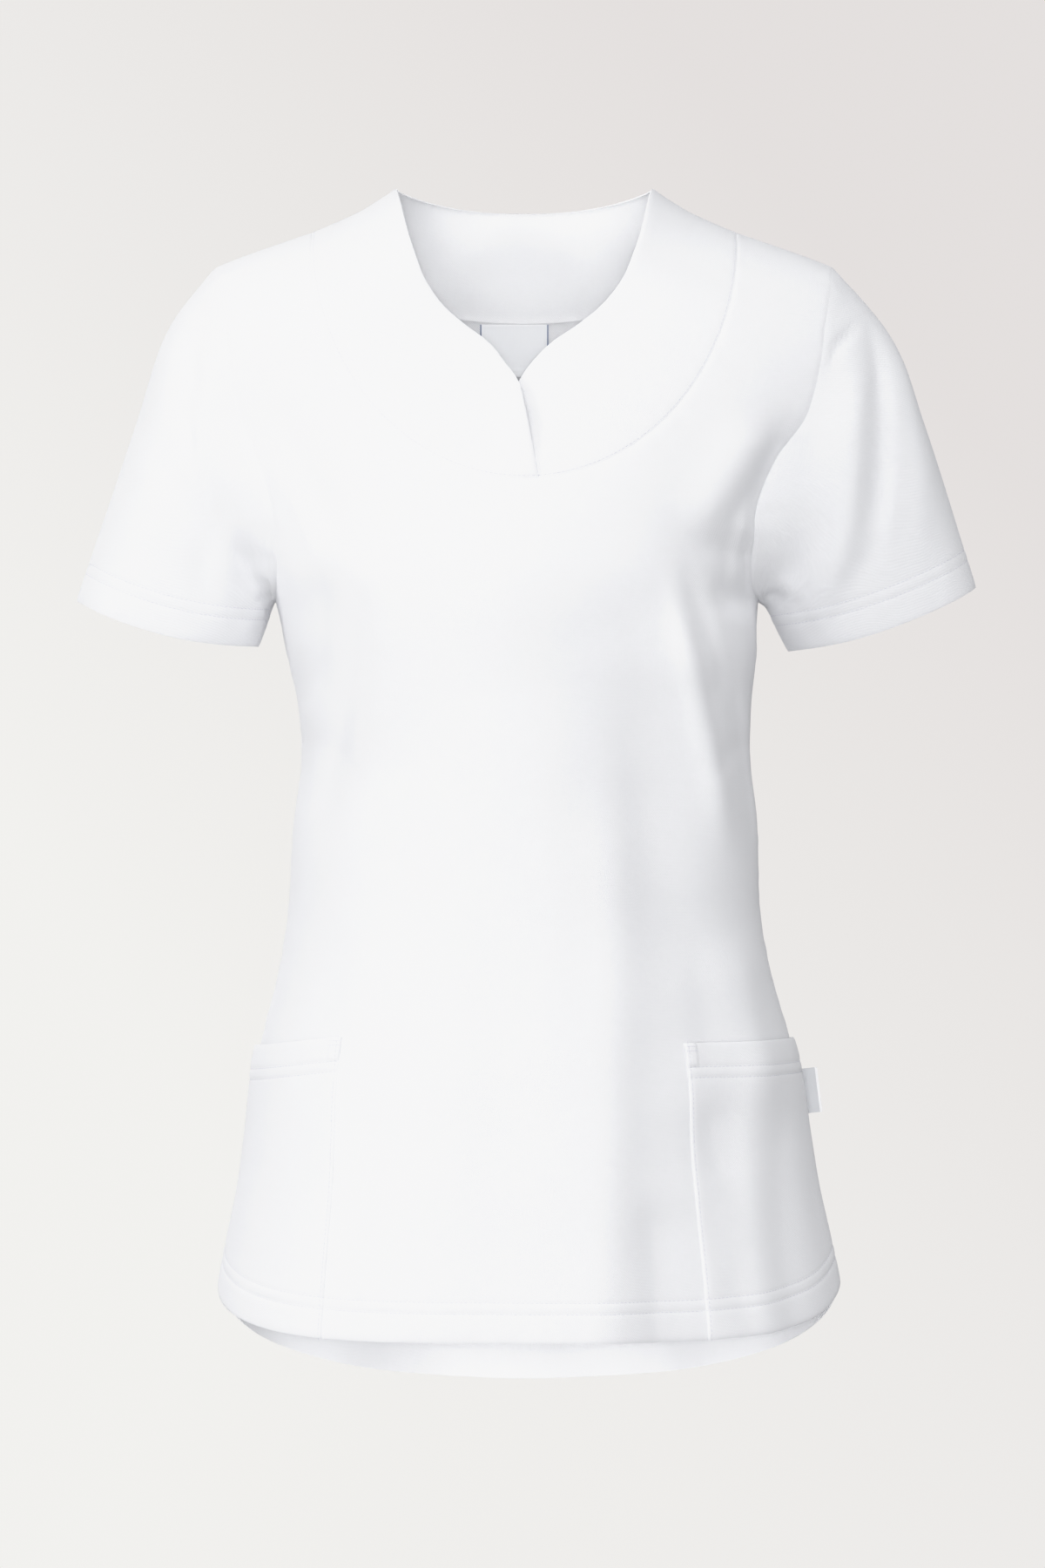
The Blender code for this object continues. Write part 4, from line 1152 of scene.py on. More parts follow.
def turn_hem(panel, hem, up, along, share, uneven, seed, wave):
    """Gives rows of points their hem's relief and a slight wave, and returns the cloth's depth."""
    panel.lift[hem] += share * hem_lift(up)[:, None]
    swell = np.sin(np.pi * up / HEM_TOP)[:, None]
    panel.lift[hem] += uneven * MM * wander(along, seed, wave)[None] * swell
    thick = np.full(len(panel.points), CLOTH)
    thick[hem] = np.interp(up, HEM_DEPTH_AT, HEM_DEPTHS)[:, None]
    return thick


def build_body(body, seams, material):
    """The front or the back panel."""
    side = body.side
    panel = panel_on(side, body.places(), body.faces())
    main, straps = body.main_net, body.strap_nets
    rows = np.array(HEM_ROWS_AT) * MM
    hem = main[: len(rows)]
    along = panel.flat[hem[0], 0]
    thick = turn_hem(panel, hem, rows, along, 1, 0.22, 40 + len(side), 23 * MM)
    inner = len(STRAP_COLUMNS) - 1
    span = slice(inner, len(COLUMNS) - inner)
    edge = np.concatenate([straps[-1][:0:-1, -1], main[-1, span], straps[1][1:, -1]])
    base_steps = COLUMNS[span] - YOKE_AT + ARMHOLE_STEPS
    steps = np.concatenate([(ARMHOLE_STEPS - STRAP_ROWS)[:0:-1], base_steps])
    steps = np.concatenate([steps, 2 * YOKE_STEPS - ARMHOLE_STEPS + STRAP_ROWS[1:]])
    panel.sew(edge, seams["yoke_" + side].at(steps), "body_yoke")
    for sign, strap in straps.items():
        shoulder = seams["shoulder", sign].at(YOKE_AT - STRAP_COLUMNS[::-1])
        panel.sew(strap[-1, ::-1], shoulder, "body_shoulder")
        hole = seams["armhole", sign].pick(armhole_samples(side)).at(STRAP_ROWS)
        panel.sew(strap[:, 0], hole, "body_armhole", sign)
        panel.sew(main[:, 0 if sign < 0 else -1], seams["side", sign], "body_side", sign)
    return panel, panel.build("cloth_" + side, thick, material)


# Sleeves


def build_sleeve(name, seams, material):
    sign = 1 if name == "left" else -1
    sleeve = seams["sleeve", sign]
    rows = sleeve.rows(sleeve.shares())
    net = numbered(rows.shape[:2])
    step = np.linalg.norm(np.roll(rows, -1, axis=1) - rows, axis=2)
    around = np.cumsum(step, axis=1) - step
    down = np.linalg.norm(np.diff(rows, axis=0), axis=2)
    down = np.concatenate([np.zeros((1, rows.shape[1])), np.cumsum(down, axis=0)])
    flat = np.stack([around, -down], -1)
    panel = Panel(rows, tube_normals(rows), flat, quads(net, closed=True))
    hem = net[-len(HEM_ROWS_AT) :]
    up = np.array(HEM_ROWS_AT[::-1]) * MM
    thick = turn_hem(panel, hem, up, around[-1], SLEEVE_HEM_SHARE, 0.2, 50 + sign, 21 * MM)
    panel.sew(net[0], seams["armhole", sign], "sleeve_armhole", sign, 14 * MM)
    return panel, hem, panel.build("cloth_sleeve_" + name, thick, material)


# The yoke


def neck_places(half, high, low, count):
    """Places down the neck edge of a front half, at even steps of real length."""
    z = high - (high - low) * np.linspace(0, 1, 300) ** 2
    return spread(place_of(read(NECK_EDGE, half, z), z), "front", count)


def lap_lift(half, x, z):
    """How the two halves part where they lap, most of all halfway down the slit."""
    sign = 1 if half == "over" else -1
    edge = read(NECK_EDGE, half, z)
    near = ease(1 - (edge - x) * sign / (34 * MM))
    low = ease((-70 * MM - z) / (26 * MM))
    gape = np.exp(-(((z + 126 * MM) / (20 * MM)) ** 2)) * near**2
    return sign * (LAP_LIFT * near * low + LAP_GAPE * gape)


def neck_relief(points, edge):
    """The rounded, slightly full edge of the double yoke."""
    return table_read(NECK_RELIEF, "relief", "in", distance_to(points, edge)[0])


def yoke_panel(side, bottom, top, left, right):
    """A piece of yoke between its four edges, its net, and the steps of its rows and columns."""
    rows = beside(YOKE_ROWS, (0, YOKE_ROWS))
    columns = beside(len(bottom) - 1, (0, len(bottom) - 1))
    places = at_steps(at_steps(patch(bottom, top, left, right), rows), columns, axis=1)
    net = numbered(places.shape[:2])
    return panel_on(side, places, quads(net)), net, rows, columns


def build_yoke_front(name, half, seams, material):
    """One front half: yoke seam, neck edge, its shoulder seam and its edge of the slit."""
    sign = 1 if name == "left" else -1
    if half == "over":
        samples = np.arange(0, OVER_END + 1)
    else:
        samples = np.arange(2 * YOKE_STEPS, UNDER_END - 1, -1)
    bottom = yoke_places("front")[samples]
    left = yoke_shoulder("front", sign)
    top = neck_places(half, RIDGE_AT_NECK, NOTCH_Z, len(bottom) - 1)
    slit = neck_places(half, NOTCH_Z, SEAM_END_Z, YOKE_ROWS)[::-1]
    top[0], slit[0], slit[-1] = left[-1], bottom[-1], top[-1]
    panel, net, rows, columns = yoke_panel("front", bottom, top, left, slit)
    apart = lap_lift(half, panel.points[:, 0], panel.points[:, 2])
    panel.sew(net[0], seams["yoke_front"].pick(samples).at(columns), "yoke_front", sign)
    panel.sew(net[:, 0], seams["yoke_shoulder", sign].at(rows), "yoke_shoulder")
    free = np.concatenate([panel.points[net[-1]], panel.points[net[::-1, -1]]])
    panel.lift += neck_relief(panel.points, free)
    panel.lift += apart
    return panel, net, panel.build("cloth_yoke_front_" + name, YOKE_CLOTH, material)


def build_yoke_back(seams, material):
    bottom = yoke_places("back")
    left, right = yoke_shoulder("back", -1), yoke_shoulder("back", 1)
    x = NECK_POINT_X * np.sin(np.linspace(-QUARTER, QUARTER, 400))
    rise = ridge(NECK_POINT_X) - BACK_NECK_Z
    z = BACK_NECK_Z + rise * (np.abs(x) / NECK_POINT_X) ** 2.2
    top = spread(place_of(x, z), "back", len(bottom) - 1)
    top[0], top[-1] = left[-1], right[-1]
    panel, net, rows, columns = yoke_panel("back", bottom, top, left, right)
    panel.sew(net[0], seams["yoke_back"].at(columns), "yoke_back")
    panel.sew(net[:, 0], seams["yoke_shoulder", -1].at(rows), "yoke_shoulder")
    panel.sew(net[:, -1], seams["yoke_shoulder", 1].at(rows), "yoke_shoulder")
    panel.lift += neck_relief(panel.points, panel.points[net[-1]])
    return panel, net, panel.build("cloth_yoke_back", YOKE_CLOTH, material)


# Pockets


POCKET_EDGE = (
    ("in", "relief"),
    (0, -1.20),
    (0.6, -0.62),
    (1.2, -0.30),
    (1.9, -0.38),
    (2.8, -0.05),
    (5, 0.04),
    (8, 0),
)
POCKET_EDGE_AT = (0, 0.6, 1.2, 1.9, 2.8, 3.9, 5, 6.4, 7, 7.6, 9)
POCKET_SIDE_AT = (5.5, 3, 1.4, 0)  # the last lines before the side seam, in from it
POCKET_CLOSING = (0.97, 0.90, 0.68, 0.08)  # how far the pocket still stands off there
POCKET_COLUMNS = 26
POCKET_TALL = 0.17  # a pocket's rough height in metres
MIDDLE_FROM, MIDDLE_SPAN = 0.17, 0.67  # where its plain stretch starts, and its share of that
TACK_STRIP = (7.0, 14.5, 0.6)  # the strip over the mouth's inner end: breadth, length, lift
STITCH_BESIDE_EDGE = 1.9  # the line of stitches beside a pocket's inner edge


def angle_at(length, reach):
    """The angle at lengths along the front's section from its middle, at one reach."""
    section = flat_of("front", np.stack([FLAT_ANGLES, np.full(len(FLAT_ANGLES), reach)], -1))
    return np.interp(length, section[:, 0], FLAT_ANGLES)


def pocket_places(name):
    """Rows of places up the pocket, columns from its inner edge out to the side seam."""
    sign = 1 if name == "left" else -1
    pocket = POCKETS[name]
    near = np.array(POCKET_EDGE_AT) * MM
    far = np.array(POCKET_SIDE_AT) * MM
    hem_up = np.array(HEM_ROWS_AT) * MM
    mouth_down = np.array(MOUTH_ROWS_AT[::-1]) * MM
    middle = np.linspace(0, 1, POCKET_ROWS + 2)[1:-1]
    rows = []
    for part, values in (("hem", hem_up), ("middle", middle), ("mouth", mouth_down)):
        for value in values:
            share = MIDDLE_FROM + MIDDLE_SPAN * value
            if part != "middle":
                share = value / POCKET_TALL if part == "hem" else 1 - value / POCKET_TALL
            inner = pocket["hem_angle"] + (pocket["mouth_angle"] - pocket["hem_angle"]) * share
            inner = math.radians(inner)
            high, low = mouth_z(sign * inner), hem_z("front", sign * inner)
            reach = low + (high - low) * share
            first = abs(flat_of("front", np.array([inner * sign, reach]))[0])
            last = abs(flat_of("front", np.array([QUARTER * sign, reach]))[0])
            evenly = np.linspace(near[-1], last - first - far[0], POCKET_COLUMNS)[1:-1]
            out = first + np.concatenate([near, evenly, last - first - far])
            angle = angle_at(sign * out, reach)
            low, high = hem_z("front", angle), mouth_z(angle)
            if part == "hem":
                z = low + value
            elif part == "mouth":
                z = high - value
            else:
                z = low + HEM_TOP + (high - MOUTH_HEM - low - HEM_TOP) * value
            rows.append(np.stack([angle, z], -1))
    return np.array(rows)


def build_pocket(name, material):
    """A pocket on the front, caught in the hem and the side seam, a little open at its mouth."""
    places = pocket_places(name)
    net = numbered(places.shape[:2])
    panel = panel_on("front", places, quads(net))
    rows, columns = net.shape
    breadth, length, lift = TACK_STRIP
    gone = np.zeros(columns)
    gone[: len(POCKET_EDGE_AT)] = POCKET_EDGE_AT
    gone[len(POCKET_EDGE_AT) :] = 99
    hem = net[: len(HEM_ROWS_AT)]
    mouth = net[-len(MOUTH_ROWS_AT) :]
    down = np.array(MOUTH_ROWS_AT[::-1])
    panel.lift[hem] += hem_lift(np.array(HEM_ROWS_AT) * MM)[:, None]
    panel.lift[mouth] += table_read(MOUTH_RELIEF, "relief", "down", down * MM)[:, None]
    panel.lift[net] += table_read(POCKET_EDGE, "relief", "in", gone * MM)[None]
    strip = ease((breadth + 0.3 - gone) / 0.6)[None] * ease(length + 0.5 - down)[:, None]
    panel.lift[mouth] += lift * MM * strip
    wave = wander(panel.flat[mouth[-1], 0], 60 + len(name), 26 * MM)
    soft = np.sin(np.pi * np.clip(down / 27, 0, 1))
    panel.lift[mouth] += 0.2 * MM * wave[None] * soft[:, None]
    up = np.linspace(0, 1, rows)[:, None]
    out = np.linspace(0, 1, columns)[None, :]
    gape = POCKETS[name]["gape"] * ease((up - 0.6) / 0.4) * ease(out / 0.4)
    raised = POCKET_LIFT + POCKET_CLOTH + gape
    closing = np.ones(columns)
    closing[-len(POCKET_SIDE_AT) :] = POCKET_CLOSING
    panel.lift[net] += raised * closing[None]
    order = slice(None) if name == "left" else slice(None, None, -1)
    panel.faces = quads(net[:, order])
    return panel, net, panel.build("cloth_pocket_" + name, POCKET_SKIN, material)


# Labels, both blank


LABEL_CLOTH = 0.45 * MM
LABEL_BREADTH, LABEL_LENGTH = 44, 31  # of the neck label, as its weave counts them
# The neck label is dark blue-grey along its two sides, out beyond LABEL_BORDER_AT
LABEL_BORDER = (0.16, 0.20, 0.33, 1)
LABEL_BORDER_AT = 21.2 * MM  # out from the label's middle
TAB_BORDER = (0.92, 0.92, 0.93, 1)
TAB_LENGTH = 15 * MM  # of the woven tab up to its tip; 11 mm of it show
TAB_CLOTH = 0.95 * MM


def build_label_neck(material):
    """The blank label that hangs from the back yoke seam, inside."""
    across, down = np.linspace(0, 1, 49), np.linspace(0, 1, 37)
    x = (LABEL_NECK["from_x"] + (LABEL_NECK["to_x"] - LABEL_NECK["from_x"]) * across) * MM
    z = (LABEL_NECK["top_z"] + (LABEL_NECK["bottom_z"] - LABEL_NECK["top_z"]) * down) * MM
    places = place_of(x[None, :], z[:, None])
    points = body_form("back", places[..., 0], places[..., 1])
    normals = body_normals("back", places)
    a, d = across[None, :], down[:, None]
    hang = LABEL_NECK["hang"] * MM * d**1.3
    curl = 1.3 * MM * ((2 * a - 1) ** 4 * d) + 0.5 * MM * d * np.sin(2.6 * a + 0.6)
    edge = np.minimum(np.minimum(a, 1 - a) * LABEL_BREADTH, np.minimum(d, 1 - d) * LABEL_LENGTH)
    selvedge = 0.16 * MM * np.exp(-(((edge - 1.1) / 0.55) ** 2))
    turned = 0.22 * MM * ease((d - 0.83) / 0.02)
    back = CLOTH + 0.7 * MM + hang + curl
    outer = points - normals * back[..., None]
    inner = outer - normals * (LABEL_CLOTH + selvedge + turned)[..., None]
    flat = np.stack([(a - 0.5) * 0.044 + 0 * d, -d * 0.031 + 0 * a], -1).reshape(-1, 2)
    outer, inner = outer.reshape(-1, 3), inner.reshape(-1, 3)
    return shell("label_neck_blank", outer, inner, flat, quads(numbered(edge.shape)), material)


def build_label_side(material):
    """The blank tab caught in the wearer's left side seam: a strip folded in two."""
    rows = np.array(LABEL_SIDE[1:])[::-1]
    z = np.linspace(rows[0, 0], rows[-1, 0], 25)
    tip = np.interp(z, rows[:, 0], rows[:, 1]) * MM
    lean = np.interp(z, rows[:, 0], rows[:, 2]) * MM
    z = z * MM
    start = body_form("front", QUARTER, z)[:, 0]
    share = np.linspace(0, 1, 15)[None, :]
    x = start[:, None] + 0.25 * MM + (tip - start)[:, None] * share
    y = 0.2 * MM - lean[:, None] * share**1.2
    up = np.linspace(-1, 1, len(z))[:, None]
    y = y - 0.35 * MM * (up**2) * share
    outer = np.stack([x, y, z[:, None] + LABEL_SIDE_TILT * (x - start[:, None])], -1)
    depth = TAB_CLOTH * np.clip(1.25 - share**6, 0, 1) * np.ones(up.shape)
    edge = np.minimum((1 - np.abs(up)) * 14, (1 - share) * 14)
    depth = depth - 0.2 * MM * np.exp(-(((edge - 1.0) / 0.4) ** 2))
    inner = outer + np.stack([0 * depth, depth, 0 * depth], -1)
    flat = np.stack([x - tip[:, None] + TAB_LENGTH, outer[..., 2]], -1).reshape(-1, 2)
    outer, inner = outer.reshape(-1, 3), inner.reshape(-1, 3)
    return shell("label_side_blank", outer, inner, flat, quads(numbered(edge.shape)), material)


# Stitches


STITCH_RISE = 0.06 * MM
YOKE_STITCH = 2.0 * MM  # from the yoke seam
STITCH_SIZES = {"Pitch": 2.9 * MM, "Length": 2.35 * MM, "Thread": 0.36 * MM}
TACK_SIZES = {"Pitch": 0.9 * MM, "Length": 1.0 * MM}
STITCH_SEED = 4


class StitchLines:
    """Lines over the cloth that stitches follow, as one mesh of loose edges."""

    def __init__(self):
        self.points, self.out, self.edges = [], [], []

    def add(self, points, out, closed=False):
        start = len(self.points)
        self.points += (points + out * STITCH_RISE).tolist()
        self.out += out.tolist()
        self.edges += [(start + k, start + k + 1) for k in range(len(points) - 1)]
        if closed:
            self.edges.append((start + len(points) - 1, start))

    def mesh(self, name):
        mesh = bpy.data.meshes.new(name)
        mesh.from_pydata(self.points, self.edges, [])
        out = mesh.attributes.new("out", "FLOAT_VECTOR", "POINT")
        out.data.foreach_set("vector", np.array(self.out, np.float32).ravel())
        return mesh


def set_values(node, **values):
    """Sets a node's sockets by name, with _ for a space."""
    for name, value in values.items():
        node.inputs[name.replace("_", " ")].default_value = value
    return node


class Nodes:
    """A tree of nodes, with short calls that add them and join them."""

    def __init__(self, tree):
        self.nodes, self.links = tree.nodes, tree.links

    def add(self, kind, **values):
        return set_values(self.nodes.new(kind), **values)

    def join(self, output, node, socket):
        self.links.new(output, node.inputs[socket])
        return node

    def maths(self, operation, *values):
        """One step of arithmetic on sockets and numbers."""
        node = self.add("ShaderNodeMath")
        node.operation = operation
        for place, value in enumerate(values):
            if isinstance(value, (int, float)):
                node.inputs[place].default_value = value
            else:
                self.join(value, node, place)
        return node.outputs[0]

    def cloth_place(self):
        """The cloth's own coordinates."""
        where = self.add("ShaderNodeUVMap")
        where.uv_map = "cloth"
        return where.outputs["UV"]

    def split(self, output):
        return self.join(output, self.add("ShaderNodeSeparateXYZ"), "Vector").outputs

    def noise(self, **values):
        """Uneven spots that stay where they are on the piece."""
        place = self.add("ShaderNodeTexCoord").outputs["Object"]
        return self.join(place, self.add("ShaderNodeTexNoise", **values), "Vector").outputs["Fac"]

    def bump(self, height, surface, strength, distance):
        raised = self.add("ShaderNodeBump", Strength=strength, Distance=distance)
        self.join(height, raised, "Height")
        self.join(raised.outputs["Normal"], surface, "Normal")

    def blend(self, share, low, high):
        """A mix of two colours, each given plainly or by a socket."""
        mix = self.add("ShaderNodeMix")
        mix.data_type = "RGBA"
        self.join(share, mix, "Factor")
        for socket, colour in (("A", low), ("B", high)):
            if isinstance(colour, tuple):
                mix.inputs[socket].default_value = colour
            else:
                self.join(colour, mix, socket)
        return mix.outputs["Result"]

    def ramp(self, share, low, high, middle=None):
        """A colour that runs from one to another, by way of a third if that is given."""
        ramp = self.add("ShaderNodeValToRGB")
        stops = ramp.color_ramp.elements
        stops[0].color, stops[1].color = low, high
        if middle:
            stops.new(0.5).color = middle
        return self.join(share, ramp, "Fac").outputs["Color"]


def stitch_tree(material):
    """Sews short stitches along every line of a mesh, end to end, lying on the cloth."""
    tree = bpy.data.node_groups.new("stitches", "GeometryNodeTree")
    face = tree.interface
    face.new_socket("Geometry", in_out="INPUT", socket_type="NodeSocketGeometry")
    for name, size in STITCH_SIZES.items():
        face.new_socket(name, in_out="INPUT", socket_type="NodeSocketFloat").default_value = size
    seed = face.new_socket("Seed", in_out="INPUT", socket_type="NodeSocketInt")
    seed.default_value = STITCH_SEED
    face.new_socket("Geometry", in_out="OUTPUT", socket_type="NodeSocketGeometry")
    work = Nodes(tree)
    add, join = work.add, work.join
    given, made = add("NodeGroupInput").outputs, add("NodeGroupOutput")
    lines = join(given["Geometry"], add("GeometryNodeMeshToCurve"), "Mesh")
    steps = join(lines.outputs["Curve"], add("GeometryNodeResampleCurve"), "Curve")
    steps.mode = "LENGTH"
    join(given["Pitch"], steps, "Length")
    ball = add("GeometryNodeMeshUVSphere", Segments=6, Rings=5, Radius=0.5)
    size = join(given["Length"], add("ShaderNodeCombineXYZ"), "X")
    join(given["Thread"], size, "Y")
    join(given["Thread"], size, "Z")
    vary = add("FunctionNodeRandomValue")
    vary.data_type = "FLOAT_VECTOR"
    set_values(vary, Min=(0.86, 0.85, 0.85), Max=(1.08, 1.15, 1.15))
    join(given["Seed"], vary, "Seed")
    scale = add("ShaderNodeVectorMath")
    scale.operation = "MULTIPLY"
    join(size.outputs["Vector"], scale, 0)
    join(vary.outputs["Value"], scale, 1)
    out = add("GeometryNodeInputNamedAttribute", Name="out")
    out.data_type = "FLOAT_VECTOR"
    along, upright = (add("FunctionNodeAlignRotationToVector") for _ in range(2))
    along.axis, upright.axis, upright.pivot_axis = "X", "Z", "X"
    join(add("GeometryNodeInputTangent").outputs["Tangent"], along, "Vector")
    join(along.outputs["Rotation"], upright, "Rotation")
    join(out.outputs["Attribute"], upright, "Vector")
    place = join(steps.outputs["Curve"], add("GeometryNodeInstanceOnPoints"), "Points")
    join(ball.outputs["Mesh"], place, "Instance")
    join(upright.outputs["Rotation"], place, "Rotation")
    join(scale.outputs["Vector"], place, "Scale")
    real = join(place.outputs["Instances"], add("GeometryNodeRealizeInstances"), "Geometry")
    painted = add("GeometryNodeSetMaterial", Material=material)
    join(real.outputs["Geometry"], painted, "Geometry")
    join(painted.outputs["Geometry"], made, "Geometry")
    return tree


def sew_lines(name, lines, tree, material, **sizes):
    """Runs the stitch tree over lines and returns the stitches as a plain mesh object."""
    obj = add_object(name, lines.mesh(name + "_lines"))
    modifier = obj.modifiers.new("stitches", "NODES")
    modifier.node_group = tree
    for item in tree.interface.items_tree:
        if item.in_out == "INPUT" and item.name in sizes:
            modifier[item.identifier] = sizes[item.name]
    bpy.context.view_layer.update()
    seen = obj.evaluated_get(bpy.context.evaluated_depsgraph_get())
    mesh = bpy.data.meshes.new_from_object(seen)
    obj.modifiers.clear()
    obj.data = mesh
    mesh.name = name
    mesh.materials.clear()
    mesh.materials.append(material)
    mesh.shade_smooth()
    return obj


# Materials


def node_material(name):
    """A new material, its nodes and its surface."""
    made = bpy.data.materials.new(name)
    made.use_nodes = True
    return made, Nodes(made.node_tree), made.node_tree.nodes["Principled BSDF"]


PIQUE_ACROSS = 1.25 * MM  # one cell of the knit, side to side
PIQUE_UP = 1.5 * MM


def pique():
    """White pique: rows of small raised diamonds with soft, slightly fuzzy yarns."""
    made, look, cloth = node_material("pique")
    maths = look.maths
    place = look.split(look.cloth_place())
    drift = maths("MULTIPLY", look.noise(Scale=60.0, Detail=2.0), 1.1)
    u = maths("ADD", maths("MULTIPLY", place["X"], math.pi / PIQUE_ACROSS), drift)
    v = maths("MULTIPLY", place["Y"], math.pi / PIQUE_UP)
    rise, fall = maths("SINE", maths("ADD", u, v)), maths("SINE", maths("SUBTRACT", u, v))
    cell = maths("ABSOLUTE", maths("MULTIPLY", rise, fall))
    fuzz = maths("MULTIPLY", look.noise(Scale=1900.0, Detail=3.0, Roughness=0.6), 0.5)
    look.bump(maths("ADD", cell, fuzz), cloth, 0.55, 0.16 * MM)
    # Colour uneven at random over the piece, and a little darker in the hollows between the raised
    # diamonds as painted shade
    tone = maths("MULTIPLY", look.noise(Scale=7.0, Detail=3.0), 0.55)
    tone = maths("ADD", tone, maths("MULTIPLY", cell, 0.45))
    white = look.blend(tone, (0.864, 0.868, 0.886, 1), (0.886, 0.890, 0.908, 1))
    look.join(white, cloth, "Base Color")
    set_values(cloth, Roughness=0.88, Specular_IOR_Level=0.25)
    set_values(cloth, Sheen_Weight=0.22, Sheen_Roughness=0.5)
    return made


def thread():
    """Spun polyester thread, a little glossier than the cloth, darkened to grey-lavender as painted
    shade round the stitches.
    """
    made, look, strand = node_material("thread")
    twist = look.noise(Scale=3000.0, Detail=1.0)
    look.bump(twist, strand, 0.4, 0.05 * MM)
    # Painted shade: the thread's grey-lavender stands for the shade round each stitch on the white
    # cloth
    tone = look.blend(twist, (0.64, 0.64, 0.71, 1), (0.74, 0.74, 0.80, 1))
    look.join(tone, strand, "Base Color")
    set_values(strand, Roughness=0.55, Sheen_Weight=0.1)
    return made


RIBBON_WEAVE = (
    ("Y", {"Scale": 620.0, "Distortion": 0.6, "Detail": 1.0, "Detail_Scale": 4.0}),
    ("X", {"Scale": 420.0, "Distortion": 0.4, "Detail": 1.0}),
)


def label_satin(name, border_at, edge_colour, ground):
    """Close-woven satin ribbon, in a second colour beyond a distance from its middle."""
    made, look, ribbon = node_material(name)
    place = look.cloth_place()
    weaves = []
    for way, values in RIBBON_WEAVE:
        weave = look.join(place, look.add("ShaderNodeTexWave", **values), "Vector")
        weave.bands_direction = way
        weaves.append(weave.outputs["Fac"])
    look.bump(look.maths("ADD", *weaves), ribbon, 0.35, 0.04 * MM)
    dim = (ground - 0.07, ground - 0.06, ground - 0.035, 1)
    tone = look.blend(weaves[0], dim, (ground, ground + 0.01, ground + 0.025, 1))
    out = look.maths("ABSOLUTE", look.split(place)["X"])
    edged = look.blend(look.maths("GREATER_THAN", out, border_at), tone, edge_colour)
    look.join(edged, ribbon, "Base Color")
    set_values(ribbon, Roughness=0.46, Sheen_Weight=0.15, Anisotropic=0.5)
    return made


# Studio


FLOOR_Z = -1.15
FLOOR_FLAT = 7.5
BACKDROP_CURVE = 2.5
# Painted shade on the backdrop's glow: palest low down and towards -X, darker upwards and towards
# +X, the wearer's left
BACKDROP_LOW = (0.900, 0.893, 0.870, 1)
BACKDROP_PAINTED_SHADE = (0.775, 0.745, 0.735, 1)
BACKDROP_UP, BACKDROP_ACROSS, BACKDROP_START = 0.30, 0.40, 0.53  # how its colour runs on


def backdrop():
    """A pale floor that curves up all round and glows by itself, with painted shade that darkens it
    upwards and towards +X.
    """
    made, look, _ = node_material("backdrop")
    look.nodes.clear()
    place = look.split(look.add("ShaderNodeTexCoord").outputs["Object"])
    height = look.maths("MULTIPLY", place["Z"], BACKDROP_UP)
    across = look.maths("MULTIPLY", place["X"], BACKDROP_ACROSS)
    tone = look.maths("ADD", look.maths("ADD", height, across), BACKDROP_START)
    # painted shade: the glow darkens upwards and towards +X
    pale = look.ramp(tone, BACKDROP_LOW, BACKDROP_PAINTED_SHADE)
    glow = look.join(pale, look.add("ShaderNodeEmission"), "Color")
    look.join(glow.outputs["Emission"], look.add("ShaderNodeOutputMaterial"), "Surface")
    around = np.linspace(0, math.tau, 97)[:-1]
    turn = np.linspace(0, QUARTER, 16)
    reach = np.append(2, FLOOR_FLAT + BACKDROP_CURVE * np.sin(turn))
    reach = np.append(reach, FLOOR_FLAT + BACKDROP_CURVE)[:, None]
    rise = np.concatenate([[0], BACKDROP_CURVE * (1 - np.cos(turn)), [6]])
    up = FLOOR_Z + rise[:, None] + 0 * around
    net = numbered(up.shape)
    points = np.stack([reach * np.cos(around), reach * np.sin(around), up], -1)
    mesh = bpy.data.meshes.new("backdrop")
    faces = quads(net, closed=True).tolist() + [net[0].tolist()]
    mesh.from_pydata(points.reshape(-1, 3).tolist(), [], faces)
    mesh.materials.append(made)
    mesh.shade_smooth()
    obj = add_object("backdrop", mesh)
    obj.visible_diffuse = obj.visible_glossy = obj.visible_shadow = False


AIM = mathutils.Vector((0, 0, -0.35))
LIGHT_DISTANCE = 5.0
LIGHTS = (  # name, azimuth, elevation, breadth, height, how bright the cloth gets, what it lights
    ("key", -60, 10, 1.6, 1.6, 0.12, "all"),
    ("key_flagged", -60, 10, 1.6, 1.6, 0.23, "outside"),
    ("front", -3, 0, 2.4, 2.4, 0.36, "all"),
    ("above", 5, 50, 2.0, 2.0, 0.31, "all"),
    ("low", -10, -28, 2.4, 1.6, 0.05, "outside"),
    ("behind", 200, 15, 3.0, 3.0, 0.35, "all"),
    ("inside", 0, 0, 0.25, 0.25, 0.25, "inside"),
    ("inside_low", 0, -9, 0.8, 0.8, 0.04, "inside"),
    ("inside_side", -40, 0, 1.0, 1.0, 0.17, "inside"),
    ("inside_side", 40, 0, 1.0, 1.0, 0.17, "inside"),
)
SURROUND_LOW = (0.34, 0.341, 0.352, 1)
SURROUND_MIDDLE = (0.42, 0.421, 0.432, 1)
SURROUND_HIGH = (0.50, 0.501, 0.510, 1)


def panel_light(name, azimuth, elevation, breadth, height, share, lit):
    """A large soft light in some direction, on everything or only on the pieces given."""
    data = bpy.data.lights.new(name, "AREA")
    data.shape = "RECTANGLE"
    data.size, data.size_y = breadth, height
    data.energy = share * math.pi * math.pi * LIGHT_DISTANCE**2
    obj = add_object(name, data)
    turn, rise = math.radians(azimuth), math.radians(elevation)
    way = (math.sin(turn) * math.cos(rise), -math.cos(turn) * math.cos(rise), math.sin(rise))
    obj.location = AIM + LIGHT_DISTANCE * mathutils.Vector(way)
    obj.rotation_euler = mathutils.Vector(way).to_track_quat("Z", "Y").to_euler()
    if lit:
        group = bpy.data.collections.new(name + "_lights")
        for piece in lit:
            group.objects.link(piece)
        obj.light_linking.receiver_collection = group


